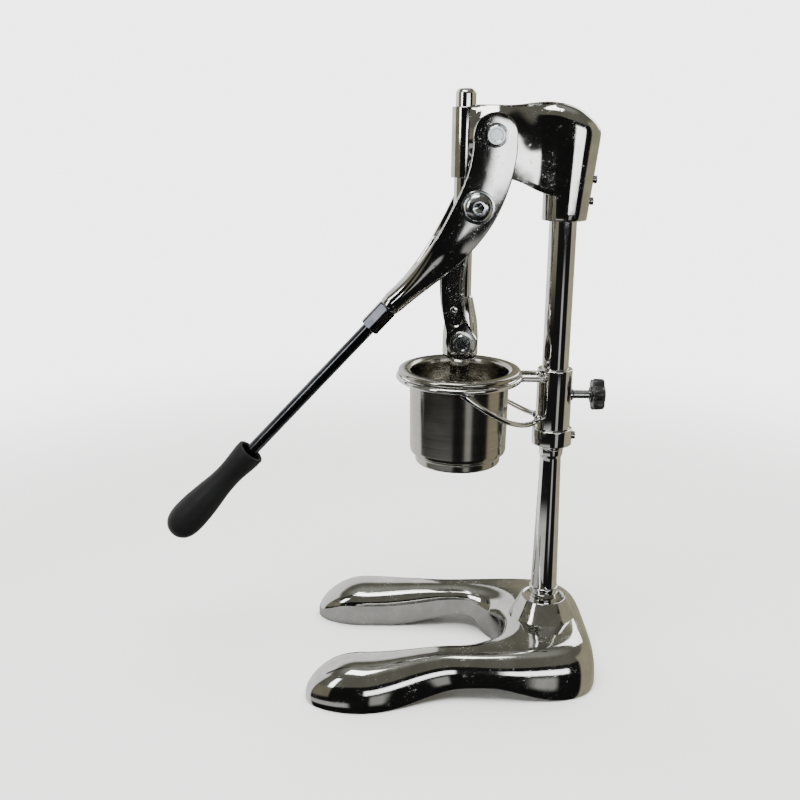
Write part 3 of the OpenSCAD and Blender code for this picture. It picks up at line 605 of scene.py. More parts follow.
def addHead(look):
    column = columnAt / mm
    slabFront = column - look["barrel"] / 2
    slabMid = column + look["barrel"] + 1.5 - look["side"]
    rings = []
    for k in range(34):
        y = mix(2.5, slabFront - 0.4, k / 33)
        half = look["guide"] + 0.1 if y < 15 else mix(
            look["guide"] + 0.1, look["side"] - 2.6, min(1, (y - 15) / (slabFront - 15)) ** 0.9)
        foot = look["guideLow"] + 0.3 - 15 * smooth(y, 34, slabFront)
        rings.append(headRing(look, y, half, foot, 0))
    for k in range(5):
        y = mix(slabFront, slabMid, k / 5)
        half = look["side"] - (2.5, 1.75, 1.15, 0.6, 0.2)[k]
        rings.append(headRing(look, y, half, look["barrelLow"] + 0.2, look["lean"] * k / 9))
    for a in list(range(0, 84, 4)) + [84, 87, 89]:
        s, c = sin(radians(a)), cos(radians(a))
        rings.append(headRing(look, slabMid + look["side"] * s, look["side"] * c,
                              look["barrelLow"] + 0.2, look["lean"] * mix(0.55, 1, s)))
    bm = bmesh.new()
    grown(bm, rings)
    for v in bm.verts:
        x, y, z = v.co / mm
        if abs(x) > 8 and y < slabFront - 3:
            swollen = padAt(look, y, z, abs(x))
            if abs(x) > 10:  # the web draws in a little towards its top
                thin = smooth(y, 34, 58) * (1 - smooth(y, 56, slabFront + 4))
                swollen -= 0.11 * thin * (sqrt((z - 500) ** 2 + 60) + z - 500) / 2
            v.co.x = (1 if x > 0 else -1) * swollen * mm
    body = spare(bm)
    guideLow, guideTop = look["guideLow"], look["top"] - 1.5
    barrelLow, barrel = look["barrelLow"], look["barrel"]
    onColumn = (0, columnAt, 0)
    solids = [(turnedSpare(filleted(corners), centre, sides=112), "UNION") for corners, centre in (
        ([(0, guideLow, 0), (12, guideLow, 0.9), (12, guideTop, 1.0), (0, guideTop, 0)], (0, 0, 0)),
        ([(0, barrelLow, 0), (barrel, barrelLow, 0.8), (barrel, 505, 0), (0, 505, 0)], onColumn))]
    for r, start, end, centre in ((9.1, 470, 560, (0, 0, 0)), (12.55, 430, 519, onColumn)):
        solids.append((turnedSpare([(0, start), (r, start), (r, end), (0, end)], centre), "DIFFERENCE"))
    mesh = combined(body, solids)
    return placePiece("head", mesh, "polished_casting", "stand", ["head_casting"], 30)


addHead(headLook)
print("head cast")

# bolts, nuts and washers
boltLook = {"flats": 16, "head": 6.4, "washer": 10.5, "washerThick": 1.6, "bolt": 5, "nut": 8, "tail": 2.5}


def hexAt(angle, flats, corner=0.6):
    # distance to the rim of a hexagon with a corner at angle 0, corners a little rounded
    a = (angle + pi / 6) % (pi / 3) - pi / 6
    a = pi / 6 - abs(a)
    return min(flats / 2 / cos(a), flats / sqrt(3) - corner * 0.3)


flatShare, chamferFall = 0.94, 0.62  # round face of a hexagon, and the slope of its corners


def hexRings(flats, height, sides=72):
    step = 2 * pi / sides
    flat = flats / 2 * flatShare

    def ring(shape):
        return [(shape(k * step)[0], k * step, shape(k * step)[1]) for k in range(sides)]

    def rim(a):
        return hexAt(a, flats)

    def edge(a):
        return height - max(0, rim(a) - flat) * chamferFall

    return [ring(lambda a: (rim(a) - 0.25, 0)), ring(lambda a: (rim(a), 0.25)),
            ring(lambda a: (rim(a), edge(a) - 0.12)), ring(lambda a: (rim(a) - 0.12, edge(a))),
            ring(lambda a: (flat, height))]


def placedRings(rings, centre, way, up):
    # rings of (radius, angle, height) put on an axis; angle 0 points along up
    way, up = Vector(way).normalized(), Vector(up).normalized()
    side = way.cross(up)
    return [[Vector(centre) + (up * cos(a) + side * sin(a)) * r * mm + way * h * mm for r, a, h in ring]
            for ring in rings]


def circleRing(r, h, sides=72):
    return [(r, 2 * pi * k / sides, h) for k in range(sides)]


def addHex(bm, centre, way, up, flats, height, dish=0.35, bore=0):
    # a bolt head with a dished face, or a nut with a bore
    rings = hexRings(flats, height)
    top = flats / 2 * flatShare
    if bore:
        rings += [circleRing(bore + 0.7, height), circleRing(bore, height - 0.7),
                  circleRing(bore, height - 2)]
    else:
        rings += [circleRing(top * 0.74, height), circleRing(top * 0.68, height - dish),
                  circleRing(top * 0.3, height - dish)]
    grown(bm, placedRings(rings, centre, way, up))


def throughBolt(names, at, face, body, up=(0, 0, 1)):
    # bolt head on the near side, nut on the far side, a washer under each
    look = boltLook
    headFace = face + look["washerThick"]
    bm = bmesh.new()
    addHex(bm, Vector((headFace * mm, at.y, at.z)), (1, 0, 0), up, look["flats"], look["head"])
    tail = headFace + look["nut"] + look["tail"]
    threads = [(0, -tail, 0), (look["bolt"] - 1.2, -tail, 0.3), (look["bolt"] - 0.3, -tail + 0.9, 0)]
    h = -tail + 1.4
    while h < -headFace - look["nut"] + 0.4:
        threads += [(look["bolt"] - 0.75, h, 0), (look["bolt"] - 0.1, h + 0.55, 0)]
        h += 1.1
    turned(bm, filleted(threads + [(look["bolt"] - 0.05, h, 0), (look["bolt"] - 0.05, headFace + 0.2, 0),
                                   (0, headFace + 0.2, 0)]), (0, at.y, at.z), (1, 0, 0), 48)
    newPiece(names[0], bm, "zinc", body, [names[0]], 26)
    bm = bmesh.new()
    addHex(bm, Vector((-headFace * mm, at.y, at.z)), (-1, 0, 0), (0, 0.3, 1), look["flats"],
           look["nut"], bore=look["bolt"])
    newPiece(names[1], bm, "zinc", body, [names[1]], 26)
    bm = bmesh.new()
    for side in (1, -1):
        turned(bm, filleted([(look["bolt"] + 0.1, face * side, 0), (look["washer"], face * side, 0.4),
                             (look["washer"], headFace * side, 0.5),
                             (look["bolt"] + 0.1, headFace * side, 0),
                             (look["bolt"] + 0.1, face * side, 0)], 3), (0, at.y, at.z), (1, 0, 0), 72)
    newPiece(names[2], bm, "zinc", body, [names[2]], 30)


plateOut = high("handle_fork").x / mm
linkOut = high("link_near").x / mm
throughBolt(("pivot_bolt", "pivot_nut", "pivot_washers"), pivotAt, plateOut + 0.3, "stand",
            (0, 0.06, 1))
throughBolt(("hub_bolt", "hub_nut", "hub_washers"), hubAt, linkOut + 0.3, "plunger", (0, -0.12, 1))

# link screws: button heads with a hex socket
screwLook = {"head": 13, "brim": 0.9, "dome": 7, "socket": 8.7, "deep": 4.2,
             "shank": 5, "washer": 14.8, "thick": 1.6}


def addLinkScrews(look):
    bm, flatBm = bmesh.new(), bmesh.new()
    brim = look["brim"]
    for side in (1, -1):
        start = plateOut + look["thick"]
        rings = [circleRing(look["head"] - 0.3, 0), circleRing(look["head"], 0.35),
                 circleRing(look["head"], brim)]
        rim = look["socket"] / sqrt(3) + 1.1
        for k in range(1, 12):
            r = mix(look["head"], rim, k / 11)
            drop = (r / look["head"]) ** 2
            rings.append(circleRing(r, brim + (look["dome"] - brim) * (1 - drop ** 1.5) ** 0.55))
        top = rings[-1][0][2]
        step = 2 * pi / 72
        for inset, h in ((0.25, top + 0.02), (0.0, top - 0.3), (0.0, top - look["deep"])):
            rings.append([(hexAt(k * step, look["socket"] + inset * 2, 0.2), k * step, h) for k in range(72)])
        rings.append(circleRing(look["socket"] * 0.36, top - look["deep"] - 0.1))
        rings.append(circleRing(0.4, top - look["deep"] - 1.6))
        grown(bm, placedRings(rings, Vector((side * start * mm, crankAt.y, crankAt.z)), (side, 0, 0),
                              (0, 0.35, 1)))
        shank, washer = look["shank"], look["washer"]
        turned(flatBm, filleted([(shank, plateOut * side, 0), (washer, plateOut * side, 0.3),
                                 (washer, start * side, 0.7), (shank, start * side, 0),
                                 (shank, plateOut * side, 0)], 3), crankAt, (1, 0, 0), 72)
    newPiece("link_screws", bm, "zinc", "lever", ["link_screws"], 30)
    newPiece("link_screw_washers", flatBm, "zinc", "lever", ["link_screw_washers"], 30)


crankAt.x = 0
addLinkScrews(screwLook)
print("bolts in")

# lever: fork, neck nut, rod and grip
forkLook = {
    "eye": 19.25, "inner": 21, "outer": 28, "neck": 10.2,
    "bend": (4, -69.46), "end": (-88, -151),  # from the lever pivot, forward and up
    "lean": 47,  # degrees below level
    "edge": 1.3, "crown": 0.6, "swell": 1.4,
}


leverWay = Vector((0, -cos(radians(forkLook["lean"])), -sin(radians(forkLook["lean"]))))
leverNeck = Vector((0, pivotAt.y + forkLook["end"][0] * mm, pivotAt.z + forkLook["end"][1] * mm))


def forkCentre(look, t):
    a, b, c = Vector((0, 0)), Vector(look["bend"]), Vector(look["end"])
    return a.lerp(b, t).lerp(b.lerp(c, t), t)


def forkRing(centre, along, half, front, back, outer, edge, crown):
    # outline across one plate: inner face, rounded edges and a faintly crowned outer face
    n = Vector((along.y, -along.x))
    half = max(half, 0.05)
    edge = min(edge, half * 0.95)
    small = min(0.9, half * 0.5)
    pts = [(front, half - small), (mix(front, back, 0.6), half * 0.4), (back, 0.1 * half),
           (back, -half * 0.5), (back, -half + small), (back + small * 0.3, -half + small * 0.3),
           (back + small, -half)]
    pts.append((mix(back + small, outer - edge, 0.5), -half))
    for k in range(7):
        a = pi / 2 * k / 6
        pts.append((outer - edge + edge * sin(a), -half + edge - edge * cos(a)))
    for k in range(1, 16):
        s = -1 + 2 * k / 16
        pts.append((outer + crown * (1 - s * s), (half - edge) * s))
    for k in range(7):
        a = pi / 2 * k / 6
        pts.append((outer - edge + edge * cos(a), half - edge + edge * sin(a)))
    pts.append((mix(front + small, outer - edge, 0.5), half))
    pts += [(front + small, half), (front + small * 0.3, half - small * 0.3)]
    return [Vector((x, centre.x + s * n.x, centre.y + s * n.y)) * mm for x, s in pts]


def addFork(look):
    arms = []
    for side in (1, -1):
        rings = []
        pivot = Vector((pivotAt.y, pivotAt.z)) / mm
        first = (forkCentre(look, 0.02) - forkCentre(look, 0)).normalized()
        for a in range(88, 0, -6):
            s, c = sin(radians(a)), cos(radians(a))
            rings.append(forkRing(pivot - first * look["eye"] * s, first, look["eye"] * c,
                                  look["inner"], look["inner"], look["outer"] - look["crown"] * 0.7,
                                  look["edge"] * (0.2 + 0.8 * c), look["crown"] * c))
        for k in range(61):
            t = k / 60
            centre = pivot + forkCentre(look, t)
            along = (forkCentre(look, min(1, t + 0.01)) - forkCentre(look, max(0, t - 0.01))).normalized()
            half = mix(look["eye"], look["neck"], smooth(t, 0.42, 0.97))
            front = mix(look["inner"], -1, smooth(t, 0.6, 0.9))
            back = mix(look["inner"], -1, smooth(t, 0.75, 0.93))
            outer = mix(look["outer"], look["neck"], smooth(t, 0.62, 1.04))
            edge = mix(look["edge"], look["neck"] * 0.8, smooth(t, 0.62, 1.0) ** 1.3)
            crown = look["crown"] + look["swell"] * sin(pi * smooth(t, 0.45, 0.98))
            rings.append(forkRing(centre, along, half, front, back, outer - crown * 0.7, edge, crown))
        rings = [[Vector((p.x * side, p.y, p.z)) for p in ring] for ring in rings]
        bm = bmesh.new()
        grown(bm, rings)
        arms.append(spare(bm))
    neck = turnedSpare(filleted([(0, -9, 0), (9.4, -9, 3), (9.8, 3, 0), (9.2, 6, 1.2), (0, 6, 0)]),
                       leverNeck, leverWay, 72)
    mesh = combined(arms[0], [(arms[1], "UNION"), (neck, "UNION")])
    return placePiece("fork", mesh, "polished_casting", "lever", ["handle_fork"], 34)


addFork(forkLook)

leverLook = {"rod": 6, "nutStart": 6, "nutLong": 26, "nut": 18,
             "gripStart": 200, "gripLong": 118, "rodInGrip": 70}


def addLever(look):
    bm = bmesh.new()
    rings = hexRings(look["nut"], look["nutLong"])
    start = circleRing(look["nut"] / 2 * flatShare, 0)
    rings[0] = [(hexAt(a, look["nut"]) - 0.12, a, max(0, hexAt(a, look["nut"]) - 8.4) * chamferFall)
                for _, a, _ in rings[0]]
    rings[1] = [(r + 0.12, a, h + 0.12) for r, a, h in rings[0]]
    rings = [start] + rings + [circleRing(look["rod"] + 0.8, look["nutLong"]),
                               circleRing(look["rod"] + 0.1, look["nutLong"] - 0.8)]
    grown(bm, placedRings(rings, leverNeck + leverWay * look["nutStart"] * mm, leverWay, (1, 0, 0)))
    newPiece("neck_nut", bm, "zinc", "lever", ["neck_nut"], 26, "dark")
    end = look["gripStart"] + look["rodInGrip"]
    turnedPiece("lever_rod", [(0, 4, 0), (look["rod"], 4, 0), (look["rod"], end, 0.5), (0, end, 0)],
                "chrome", "lever", ["lever_rod"], leverNeck, leverWay, 64, finish="dark")


addLever(leverLook)

gripLook = {
    "rim": 14.2, "lip": 1.2, "hole": 10.6,
    # share of the length, and the radius there
    "stops": [(0, 14.0), (0.05, 14.1), (0.12, 13.4), (0.22, 12.3), (0.3, 12.1), (0.4, 12.8),
              (0.52, 14.6), (0.64, 16.2), (0.74, 16.95), (0.82, 17.0), (0.88, 16.2), (0.93, 14.2),
              (0.965, 11.2), (0.985, 8.0), (0.997, 4.0), (1.0, 0)],
}


def addGrip(look):
    start, long = leverLook["gripStart"], leverLook["gripLong"]
    hole, rim, lip = look["hole"], look["rim"], look["lip"]
    line = [(6.05, 22, 0), (hole - 1.4, 20, 1.0), (hole, 1.6, 0.8), (hole + 0.9, 0, 0.8),
            (rim - 0.6, 0, 1.2), (rim, lip, 0)]
    line = [(p.x, p.y + start) for p in filleted(line)]
    stops = look["stops"]
    for k in range(1, 97):
        u = k / 96
        u = 1 - (1 - u) ** 1.25
        j = max(i for i in range(len(stops) - 1) if stops[i][0] <= u)
        a, b = stops[j], stops[j + 1]
        t = (u - a[0]) / (b[0] - a[0])
        before, after = stops[max(0, j - 1)], stops[min(len(stops) - 1, j + 2)]
        m0 = (b[1] - before[1]) / max(1e-6, b[0] - before[0]) * (b[0] - a[0])
        m1 = (after[1] - a[1]) / max(1e-6, after[0] - a[0]) * (b[0] - a[0])
        r = ((2 * t ** 3 - 3 * t * t + 1) * a[1] + (t ** 3 - 2 * t * t + t) * m0
             + (3 * t * t - 2 * t ** 3) * b[1] + (t ** 3 - t * t) * m1)
        line.append((max(0, r), start + lip + u * (long - lip)))
    bm = bmesh.new()
    turned(bm, line, leverNeck, leverWay, 96)
    newPiece("hand_grip", bm, "black_grip", "lever", ["hand_grip"], 50)


addGrip(gripLook)
print("lever built")

# links
linkLook = {"bow": 14, "half": 10.5, "eye": 14.5, "inner": 13.3, "edge": 0.9,
            "panel": 6.3, "deep": 1.7, "panelStart": 21, "panelEnd": 22,
            "pads": (0.235, 0.74)}  # shares of the length


def linkCentre(look, s, long):
    # s runs from the hub eye to the crank eye; the shank bows to the front
    t = min(1, max(0, s / long))
    y = -4 * look["bow"] * t * (1 - t)
    slope = -4 * look["bow"] * (1 - 2 * t) / long
    extra = s - t * long
    way = Vector((slope, 1)).normalized()
    return Vector((y, t * long)) + way * extra, way


def linkOutline(look, long, grow, panel=False, count=44):
    left, right = [], []
    for k in range(count + 1):
        u = (1 - cos(pi * k / count)) / 2
        u = mix(u, k / count, 0.35)
        if panel:
            start, end, r = look["panelStart"], long - look["panelEnd"], look["panel"] + grow
            s = mix(start - r, end + r, u)
            over = max(0, start - s, s - end)
            half = sqrt(max(0, r * r - over * over))
        else:
            r = look["eye"] + grow
            s = mix(-r, long + r, u)
            inside = 0 < s < long
            away = min(abs(s), abs(s - long)) if inside else max(-s, s - long)
            half = circle = sqrt(max(0, r * r - away * away))
            if inside:  # the eye runs into the shank in a soft curve
                half = max(circle, (look["half"] + grow) * smooth(away, 2, 9))
                if circle < half:
                    half = (half ** 4 + 0.15 * circle ** 4) ** 0.25
        centre, way = linkCentre(look, s, long)
        n = Vector((way.y, -way.x))
        left.append(centre + n * half)
        right.append(centre - n * half)
    return left + right[-2:0:-1]


def addLink(name, side, look):
    inner, outer = look["inner"], linkOut
    lean = atan2(crankAt.y - hubAt.y, crankAt.z - hubAt.z)
    long = sqrt((crankAt.y - hubAt.y) ** 2 + (crankAt.z - hubAt.z) ** 2) / mm
    c, s = cos(lean), sin(lean)

    def ring(outline, x):
        return [Vector((side * x * mm, hubAt.y + (p.x * c + p.y * s) * mm,
                        hubAt.z + (p.y * c - p.x * s) * mm)) for p in outline]

    full, trim = linkOutline(look, long, 0), linkOutline(look, long, -look["edge"])
    some = linkOutline(look, long, -look["edge"] * 0.3)
    top, floor = linkOutline(look, long, 0.5, True), linkOutline(look, long, -0.3, True)
    deep, edge = look["deep"], look["edge"]
    bm = bmesh.new()
    grown(bm, [ring(floor, inner + deep), ring(floor, inner + deep), ring(top, inner), ring(trim, inner),
               ring(some, inner + edge * 0.3), ring(full, inner + edge), ring(full, outer - edge),
               ring(some, outer - edge * 0.3), ring(trim, outer), ring(top, outer),
               ring(floor, outer - deep)])
    for at in look["pads"]:  # cast pads left in the recess
        centre, _ = linkCentre(look, at * long, long)
        pad = ring([centre], outer - deep)[0]
        turned(bm, filleted([(0, -0.4, 0), (3.6, -0.4, 0), (3.2, 0.7, 0.5), (1.5, 0.9, 0.3), (1.2, 0.1, 0.2),
                             (0, 0.1, 0)]), pad, (side, 0, 0), 32)
    newPiece(name, bm, "polished_casting", "links", [name], 32)


for name, side in (("link_near", 1), ("link_far", -1)):
    addLink(name, side, linkLook)
print("links built")

# press rod, hub and plunger
rodLook = {
    "rod": 9, "top": 555, "flats": 13,
    # the hub from its foot up, measured from the hub bolt
    "hub": [(9.05, -17, 0), (14.6, -17, 1.2), (16.5, -14, 2), (16.5, 3, 9), (15.2, 18, 12), (11.6, 35, 7),
            (10.4, 39.6, 1.5), (9.05, 41, 0), (9.05, -17, 0)],
}


def addPressRod(look):
    base = low("press_rod").z / mm
    rod, top = look["rod"], look["top"]
    turnedPiece("press_rod", [(0, base, 0), (rod, base, 0), (rod, top - 2.6, 5.5),
                              (rod - 3.2, top - 0.2, 5), (0, top, 0)],
                "chrome", "plunger", ["press_rod"], sides=96, steps=9)
    bm = bmesh.new()
    turned(bm, filleted([(r, h + hubAt.z / mm, fillet) for r, h, fillet in look["hub"]], 7), sides=96)
    bmesh.ops.remove_doubles(bm, verts=bm.verts, dist=2e-6)
    for side in (1, -1):
        cut = bmesh.ops.bisect_plane(bm, geom=bm.verts[:] + bm.edges[:] + bm.faces[:], dist=1e-6,
                                     plane_co=(side * look["flats"] * mm, 0, 0), plane_no=(side, 0, 0),
                                     clear_outer=True)
        edges = [e for e in cut["geom_cut"] if isinstance(e, bmesh.types.BMEdge)]
        bmesh.ops.contextual_create(bm, geom=edges)
    newPiece("rod_hub", bm, "polished_casting", "plunger", ["rod_hub"], 30)


addPressRod(rodLook)


plungerLook = {"web": 5, "hub": 19, "hubTop": 14.4, "bore": 9.02, "seat": 3}


def addPlunger(look):
    r, top = high("plunger_disc").x / mm, high("plunger_disc").z / mm
    base, bore = low("plunger_disc").z / mm, look["bore"]
    web, seat = base + look["web"], top - look["seat"]
    turnedPiece("plunger_disc", [
        (0, base, 0), (r - 3, base, 0), (r - 0.2, base, 1.2), (r, base + 2, 0.8), (r, top, 0.9),
        (r - 3.4, top, 0.9), (r - 5.6, web, 2.2), (look["hub"], web, 2.5), (look["hubTop"], top, 1.2),
        (bore, top, 0), (bore, seat, 0), (0, seat, 0)],
        "stainless", "plunger", ["plunger_disc"], sides=128)


addPlunger(plungerLook)
print("plunger built")

# cup and bottom ring
cupLook = {"wall": 1.2, "body": 47, "low": 46.2, "lip": 58, "bead": 2.5, "foot": 222, "top": 303.5,
           "hole": 37, "ring": 40.9, "ringTop": 41.8}


def addCup(look):
    w, b, lip, bead, foot, top = (look[k] for k in ("wall", "body", "lip", "bead", "foot", "top"))
    bodyLow, hole = look["low"], look["hole"]

    def curl(radius, angles):
        # the rolled edge, seen in section
        return [(lip - bead + radius * cos(radians(a)), top - bead + radius * sin(radians(a)), 0)
                for a in angles]

    line = [(hole, foot, 0), (bodyLow - 4, foot, 0), (bodyLow - 0.6, foot + 0.3, 1.8),
            (bodyLow, foot + 4, 2), (b, top - 6, 3), (b + 1.6, top - w - 0.4, 2.2),
            (lip - bead - 1.5, top - w, 0.8), (lip - bead, top - w, 0)]
    line += curl(bead - w, range(70, -211, -20)) + curl(bead, range(-205, 81, 15))
    line += [(lip - bead, top, 0), (b + 2.6, top, 1.2), (b - w + 0.6, top - 1.6, 2.2), (b - w, top - 6, 3),
             (bodyLow - w, foot + 4, 2), (bodyLow - 2.2, foot + w, 1.2), (hole, foot + w, 0),
             (hole, foot, 0)]
    bm = bmesh.new()
    turned(bm, filleted(line, 5), sides=144)
    newPiece("cup", bm, "stainless", "press_cup", ["cup"], 45)
    base, ring, flare = low("bottom_ring").z / mm, look["ring"], look["ringTop"]
    turnedPiece("bottom_ring", [
        (hole, base + 0.6, 0), (hole + 0.6, base, 0.4), (ring - 0.7, base, 0.8), (ring, base + 1.6, 0.9),
        (ring, base + 6.6, 1), (flare, base + 8, 0.6), (flare, base + 9.9, 0.2), (hole, base + 9.9, 0)],
        "stainless", "press_cup", ["bottom_ring"], sides=144, closed=True)


addCup(cupLook)
print("cup spun")

# holder: sleeve, ring, arms, braces, stud and knob
holderLook = {"wire": 2.5, "ring": 57.5, "armX": 12, "sleeve": 16.5, "slip": 12.56,
              "braceOut": 4, "braceY": 52, "braceLow": 4.5, "braceEndX": 7, "braceEnd": 10}


def wirePath(bm, path, radius, sides=20, squash=None):
    rings = []
    for k, p in enumerate(path):
        way = (path[min(len(path) - 1, k + 1)] - path[max(0, k - 1)]).normalized()
        side = way.cross(Vector((0, 0, 1))).normalized()
        up = side.cross(way)
        t = k / (len(path) - 1)
        wide, tall = squash(t) if squash else (1, 1)
        rings.append([p + side * cos(2 * pi * a / sides) * radius * wide * mm
                      + up * sin(2 * pi * a / sides) * radius * tall * mm for a in range(sides)])
    grown(bm, rings)


def weld(bm, place, way, wide, tall):
    # a lump of weld metal round the end of a wire
    turned(bm, [(max(0, wide * cos(radians(a))), tall * sin(radians(a))) for a in range(-90, 91, 15)],
           place, Vector(way).normalized(), 20)


def addHolder(look):
    sleeveLow, sleeveHigh = low("holder_sleeve").z / mm, high("holder_sleeve").z / mm
    ringZ = (low("holder_ring").z + high("holder_ring").z) / 2 / mm
    column = columnAt / mm
    sleeve, slip, wire, hoop = look["sleeve"], look["slip"], look["wire"], look["ring"]
    turnedPiece("holder_sleeve", [(slip, sleeveLow, 0.4), (sleeve, sleeveLow, 0.9),
                                  (sleeve, sleeveHigh, 0.9), (slip, sleeveHigh, 0.4)],
                "chrome", "holder", ["holder_sleeve"], (0, columnAt, 0), closed=True, sides=112)
    bm = bmesh.new()
    turned(bm, [(hoop + wire * cos(2 * pi * k / 24), ringZ + wire * sin(2 * pi * k / 24))
                for k in range(25)], sides=144)
    newPiece("holder_ring", bm, "chrome", "holder", ["holder_ring"], 60)
    bm, beads = bmesh.new(), bmesh.new()
    for side in (1, -1):
        x = side * look["armX"]
        start = sqrt(hoop ** 2 - x * x) - 1
        end = column - sqrt(sleeve ** 2 - x * x) + 1.2
        wirePath(bm, [Vector((x, mix(start, end, k / 6), ringZ)) * mm for k in range(7)], wire)
        weld(beads, Vector((x, start + 1.6, ringZ)) * mm, (0, 1, 0), 3.0, 4.2)
        weld(beads, Vector((x, end - 0.8, ringZ)) * mm, (0.2 * side, 1, 0), 3.7, 2.4)
    newPiece("holder_arms", bm, "chrome", "holder", ["holder_arms"], 60)
    bm = bmesh.new()
    for side in (1, -1):
        a = Vector((side * hoop, -1, ringZ - wire + 0.6))
        b = Vector((side * (hoop - look["braceOut"]), look["braceY"], sleeveLow + look["braceLow"]))
        c = Vector((side * look["braceEndX"], column - sleeve + 2.4, sleeveLow + look["braceEnd"]))
        wirePath(bm, [a.lerp(b, k / 36).lerp(b.lerp(c, k / 36), k / 36) * mm for k in range(37)], wire,
                 squash=lambda t: (mix(0.55, 1, smooth(t, 0, 0.12)), mix(1.25, 1, smooth(t, 0, 0.12))))
        weld(beads, (a + Vector((0, 3.5, 0.4))) * mm, (0, 1, -0.25), 3.1, 7.5)
        weld(beads, (c + Vector((side * 0.6, -1.2, 0))) * mm, (-side * 0.9, 0.6, 0.1), 3.8, 3.4)
    newPiece("holder_braces", bm, "chrome", "holder", ["holder_braces"], 60)
    newPiece("holder_welds", beads, "chrome", "holder", (), 60, "weld")


addHolder(holderLook)

knobLook = {"lobes": 6, "radius": 16, "notch": 3.4, "thick": 14, "stud": 4}


def addKnob(look):
    column, z = columnAt / mm, knobAt.z / mm
    knobY = low("knob_head").y / mm
    bm = bmesh.new()
    way = Vector((0, 1, 0))
    sides = 144

    def lobed(r, h, depth=1.0):
        ring = []
        for k in range(sides):
            a = 2 * pi * k / sides
            dip = (0.5 - 0.5 * cos(a * look["lobes"])) ** 1.5
            ring.append((r - look["notch"] * depth * dip, a, h))
        return ring

    t, r = look["thick"], look["radius"]
    rings = [circleRing(4.1, 3, sides), circleRing(4.1, 0.4, sides), circleRing(4.6, 0, sides),
             circleRing(7.2, 0, sides), circleRing(7.7, 0.5, sides), circleRing(8, 1.6, sides),
             lobed(r - 3.6, 1.7, 0.5), lobed(r - 1.2, 2.1), lobed(r - 0.35, 2.7), lobed(r, 3.7),
             lobed(r, t - 3.4), lobed(r - 0.4, t - 2.3), lobed(r - 1.4, t - 1.5), lobed(r - 4, t - 1.1, 0.6),
             circleRing(9, t - 1.2, sides), circleRing(8.4, t - 0.4, sides), circleRing(7.8, t, sides),
             circleRing(5.2, t, sides), circleRing(4.9, t - 0.4, sides)]
    grown(bm, placedRings(rings, Vector((0, knobY, z)) * mm, way, (0.2, 0, 1)))
    newPiece("knob_head", bm, "black_knob", "knob", ["knob_head"], 34)
    start = column + look["stud"] + 9
    turnedPiece("knob_stud", [(0, 0, 0), (look["stud"], 0, 0), (look["stud"], knobY - start + 6, 0.5),
                              (0, knobY - start + 6, 0)],
                "zinc", "knob", ["knob_stud"], Vector((0, start, z)) * mm, (0, 1, 0), 48)


addKnob(knobLook)
# the plated collar where the stud enters the sleeve
turnedPiece("stud_collar", [(4.1, 14.6, 0), (6.6, 14.6, 0), (6.2, 16.9, 1.0), (4.9, 18.2, 0.6),
                            (4.1, 18.2, 0)],
            "chrome", "holder", (), (0, columnAt, knobAt.z), (0, 1, 0), 48,
            closed=True, steps=4, sharp=50)
print("holder built")

# room: a pale floor, a bright backdrop and soft lights
roomLook = {
    "backdrop": (0.93, 0.93, 0.93),
    "bright": 4.4,
    "floor": (0.86, 0.86, 0.855),
    "reach": (0.55, 1.35),
    "top": (0.21, 0.21, 0.207),
    "table": ((-0.9, -0.165), (0.05, 0.12)),
    "dark": (0.012, 0.012, 0.012),
    "warm": (0.46, 0.425, 0.31),
    "pale": (1.35, 1.35, 1.32),
    "window": (4.6, 4.7, 4.75),
    "sill": (0.5, 0.5, 0.48),
    "cloth": (0.6, 0.6, 0.59),
    "ceiling": (0.17, 0.165, 0.135),
    "glow": (0.38, 0.38, 0.345),
}


def addRoom(look):
    world = bpy.data.worlds.new("room")
    bpy.context.scene.world = world
    make = Finish(world)
    way = make.node("ShaderNodeTexCoord", out=0)
    x, y, z = (make.node("ShaderNodeSeparateXYZ", {}, {0: way}, out=k) for k in range(3))
    angle = y.math("ARCTAN2", x) * (180 / pi)  # 0 towards +X, 90 towards +Y
    height = z.math("ARCSINE") * (180 / pi)

    def band(value, start, end, soft):
        return value.clipped(start - soft, start + soft) * (1 - value.clipped(end - soft, end + soft))

    # what the metal reflects, one patch over the other, in degrees
    colour = look["dark"]
    for name, share in (
            ("warm", band(angle, -92, -44, 2) * band(height, -12, 24, 4) * 0.55),
            ("sill", band(angle, 13, 28, 3) * band(height, -27, -11, 3)),
            ("cloth", band(angle, -100, -16, 4) * band(height, -32, -23, 1.5)),
            ("ceiling", height.clipped(14, 18)),
            ("warm", band(angle, 70, 174, 4) * band(height, -60, 30, 5)),
            ("pale", (1 - angle.clipped(-100, -92)) * band(height, -60, 40, 6)),
            ("window", band(angle, 5, 42, 2.5) * band(height, -6, 4, 1.5)),
            ("glow", height.clipped(52, 74))):
        colour = make.blend(share, colour, look[name])
    seen = make.node("ShaderNodeLightPath", out=0)
    plain = make.node("ShaderNodeBackground", {}, {
        "Color": tint(look["backdrop"]), "Strength": look["bright"]})
    room = make.node("ShaderNodeBackground", {}, {"Color": colour, "Strength": 1.0})
    both = make.node("ShaderNodeMixShader", {}, {0: seen, 1: room, 2: plain})
    make.node("ShaderNodeOutputWorld", {}, {"Surface": both})


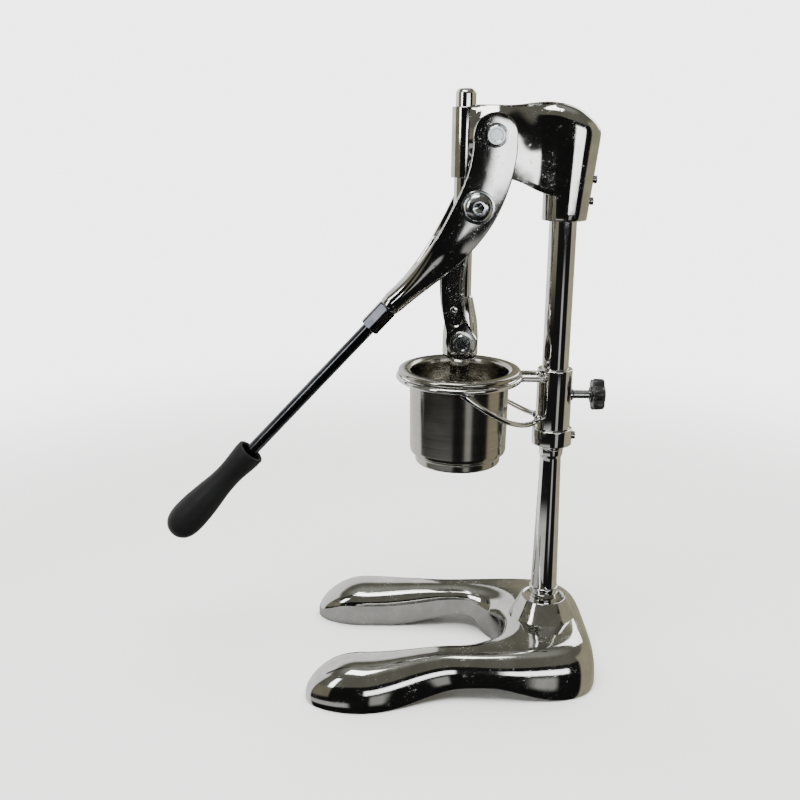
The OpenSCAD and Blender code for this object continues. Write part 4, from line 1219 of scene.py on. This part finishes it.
def addFloor(look):
    bm = bmesh.new()
    bmesh.ops.create_circle(bm, cap_ends=True, segments=96, radius=6)
    floor = linked("floor", meshOf("floor", bm))
    make = newFinish("pale floor")
    cloud = make.noise(make.place(), 3, 2.0, 0.5)
    away = make.node("ShaderNodeVectorMath", {"operation": "LENGTH"}, {0: make.place()}, out=1)
    near = 1 - away.clipped(*look["reach"])  # the floor melts into the backdrop
    floor.data.materials.append(make.surface({
        "Base Color": tint(look["floor"]), "Roughness": 0.75 + cloud * 0.1, "Alpha": near}))
    floor.visible_glossy = False
    # the table the juicer stands on ends just past its near leg, and shows in the metal
    bm = bmesh.new()
    bmesh.ops.create_grid(bm, x_segments=1, y_segments=1, size=0.5)
    (x0, y0), (x1, y1) = look["table"]
    bmesh.ops.scale(bm, verts=bm.verts, vec=(x1 - x0, y1 - y0, 1))
    bmesh.ops.translate(bm, verts=bm.verts, vec=((x0 + x1) / 2, (y0 + y1) / 2, 0.0002))
    table = linked("table", meshOf("table", bm))
    make = newFinish("table top")
    table.data.materials.append(make.surface({
        "Base Color": tint(look["top"]), "Roughness": 0.6 + make.noise(make.place(), 8) * 0.2}))
    table.visible_camera = False
    table.visible_diffuse = False
    table.visible_shadow = False


def addLight(name, place, aim, size, power, colour=(1, 1, 1), shown=True):
    light = bpy.data.lights.new(name, "AREA")
    light.shape = "RECTANGLE"
    light.size, light.size_y = size
    light.energy = power
    light.color = colour
    item = linked(name, light)
    item.location = place
    item.visible_glossy = shown
    item.rotation_mode = "QUATERNION"
    item.rotation_quaternion = (Vector(aim) - Vector(place)).to_track_quat("-Z", "Y")


addRoom(roomLook)
addFloor(roomLook)
centre = Vector((0, 0.02, 0.26))
addLight("top softbox", (0.5, -0.3, 1.7), centre, (0.9, 0.6), 14, (1.0, 0.99, 0.97))
addLight("front softbox", (1.1, -1.3, 0.9), centre, (0.35, 0.9), 7, (0.95, 0.98, 1.0))
addLight("back softbox", (-1.2, 0.9, 1.1), centre, (0.8, 0.8), 8)
addLight("overhead", (0, 0, 2.6), centre, (3, 3), 215, shown=False)
print("room lit")
